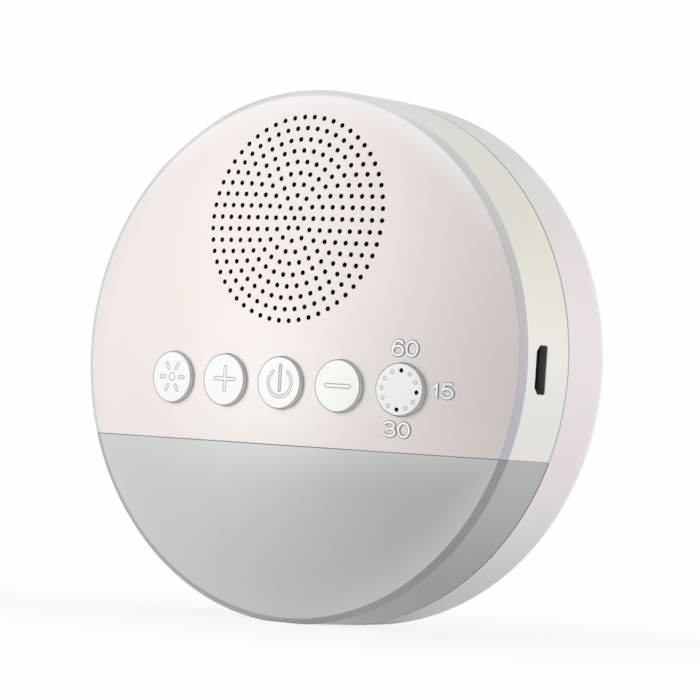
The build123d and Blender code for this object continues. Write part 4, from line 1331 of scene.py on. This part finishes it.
# ---------------------------------------------------------------- camera
CAMERA_PLACE = (0.396712, -0.568433, 0.033173)
CAMERA_AZIMUTH = radians(34.7086)    # looks this far to the left of +Y
CAMERA_DROP = radians(-1.3674)       # and this far down; it looks slightly up
CAMERA_ROLL = radians(3.7807)
CAMERA_LENS = 196.05                 # millimetres, on the sensor below
CAMERA_SENSOR = 36.0


def make_camera():
    data = bpy.data.cameras.new("camera")
    data.sensor_width = CAMERA_SENSOR
    data.lens = CAMERA_LENS
    data.clip_start, data.clip_end = 0.01, 20.0
    stand = Matrix.Translation(CAMERA_PLACE)
    for angle, axis in ((CAMERA_AZIMUTH, "Z"), (pi / 2 - CAMERA_DROP, "X"), (CAMERA_ROLL, "Z")):
        stand = stand @ Matrix.Rotation(angle, 4, axis)
    camera = add_object("camera", data)
    camera.matrix_world = stand
    bpy.context.scene.camera = camera


# ---------------------------------------------------------------- studio
BACKGROUND = (0.992, 0.995, 0.98)
ROOM_LEVEL = 0.03
FLOOR_HALF = 3.0
FLOOR_COLOUR = (0.8, 0.8, 0.79)
SHADOW_REACH = (0.03, 0.12)          # metres from the drum's foot between which the floor turns white
SHADOW_SHARE = (0.86, 1.0)


def make_light(name, azimuth, elevation, distance, size, level, colour=(1, 1, 1)):
    """Square soft box. Azimuth 0 is in front and 90 to the right; a white face square to it shows `level`."""
    across, up = radians(azimuth), radians(elevation)
    data = bpy.data.lights.new(name, "AREA")
    data.shape = "SQUARE"
    data.size = size
    data.energy = level * pi * pi * distance**2
    data.color = colour
    light = add_object(name, data)
    away = Vector((sin(across) * cos(up), -cos(across) * cos(up), sin(up)))
    light.location = Vector((0, 0, AXIS_Z)) + away * distance
    light.rotation_mode = "QUATERNION"
    light.rotation_quaternion = away.to_track_quat("Z", "Y")
    light.visible_camera = False


def seen_white(tree, lit, white):
    """Shader that shows `white` to the camera, in reflections and through glass, and `lit` to all else."""
    rays = add_node(tree, "LightPath", {}).outputs
    seen = rays["Is Camera Ray"]
    for kind in ("Is Glossy Ray", "Is Transmission Ray"):
        seen = add_node(tree, "Math", {0: seen, 1: rays[kind]}, operation="MAXIMUM").outputs[0]
    return add_node(tree, "MixShader", {0: seen, 1: lit.outputs[0], 2: white.outputs[0]}).outputs[0]


def make_world():
    world = bpy.data.worlds.new("studio")
    world.use_nodes = True
    tree = world.node_tree
    tree.nodes.clear()
    room = add_node(tree, "Background", {"Color": (1, 1, 1, 1), "Strength": ROOM_LEVEL})
    white = add_node(tree, "Background", {"Color": opaque(BACKGROUND), "Strength": 1.0})
    add_node(tree, "OutputWorld", {"Surface": seen_white(tree, room, white)})
    bpy.context.scene.world = world


def make_floor():
    """Pale floor that shows as white with a faint shadow."""
    mesh = bpy.data.meshes.new("floor")
    corners = [(x * FLOOR_HALF, y * FLOOR_HALF, 0) for x, y in ((-1, -1), (1, -1), (1, 1), (-1, 1))]
    mesh.from_pydata(corners, [], [(0, 1, 2, 3)])
    finish = Finish("floor_white", 0.8, Base_Color=opaque(FLOOR_COLOUR))
    glow = finish.add("Emission", {"Color": opaque(BACKGROUND), "Strength": 1.0})
    away = finish.add("VectorMath", {0: finish.place}, operation="LENGTH").outputs["Value"]
    limits = dict(zip(("From Min", "From Max", "To Min", "To Max"), SHADOW_REACH + SHADOW_SHARE))
    share = finish.add("MapRange", {"Value": away, **limits}, interpolation_type="SMOOTHSTEP")
    sources = (share.outputs["Result"], finish.shader.outputs[0], glow.outputs[0])
    fading = finish.add("MixShader", dict(enumerate(sources)))
    surface = finish.tree.nodes["Material Output"].inputs["Surface"]
    finish.tree.links.new(seen_white(finish.tree, finish.shader, fading), surface)
    mesh.materials.append(finish.made)
    add_object("floor", mesh)


make_camera()
make_world()
make_floor()
make_light("key", -31, 26, 1.2, 0.9, 0.66, (1.0, 1.0, 0.99))
make_light("low", -35, -3, 0.22, 0.08, 0.2)
make_light("right", 60, 10, 1.2, 0.6, 0.07)
make_light("side", 118, 14, 1.2, 0.8, 0.79)
make_light("high", 180, 60, 1.2, 0.8, 0.17)
make_light("back", -130, 0, 1.2, 0.6, 0.4)
bpy.context.scene.view_settings.view_transform = "Standard"
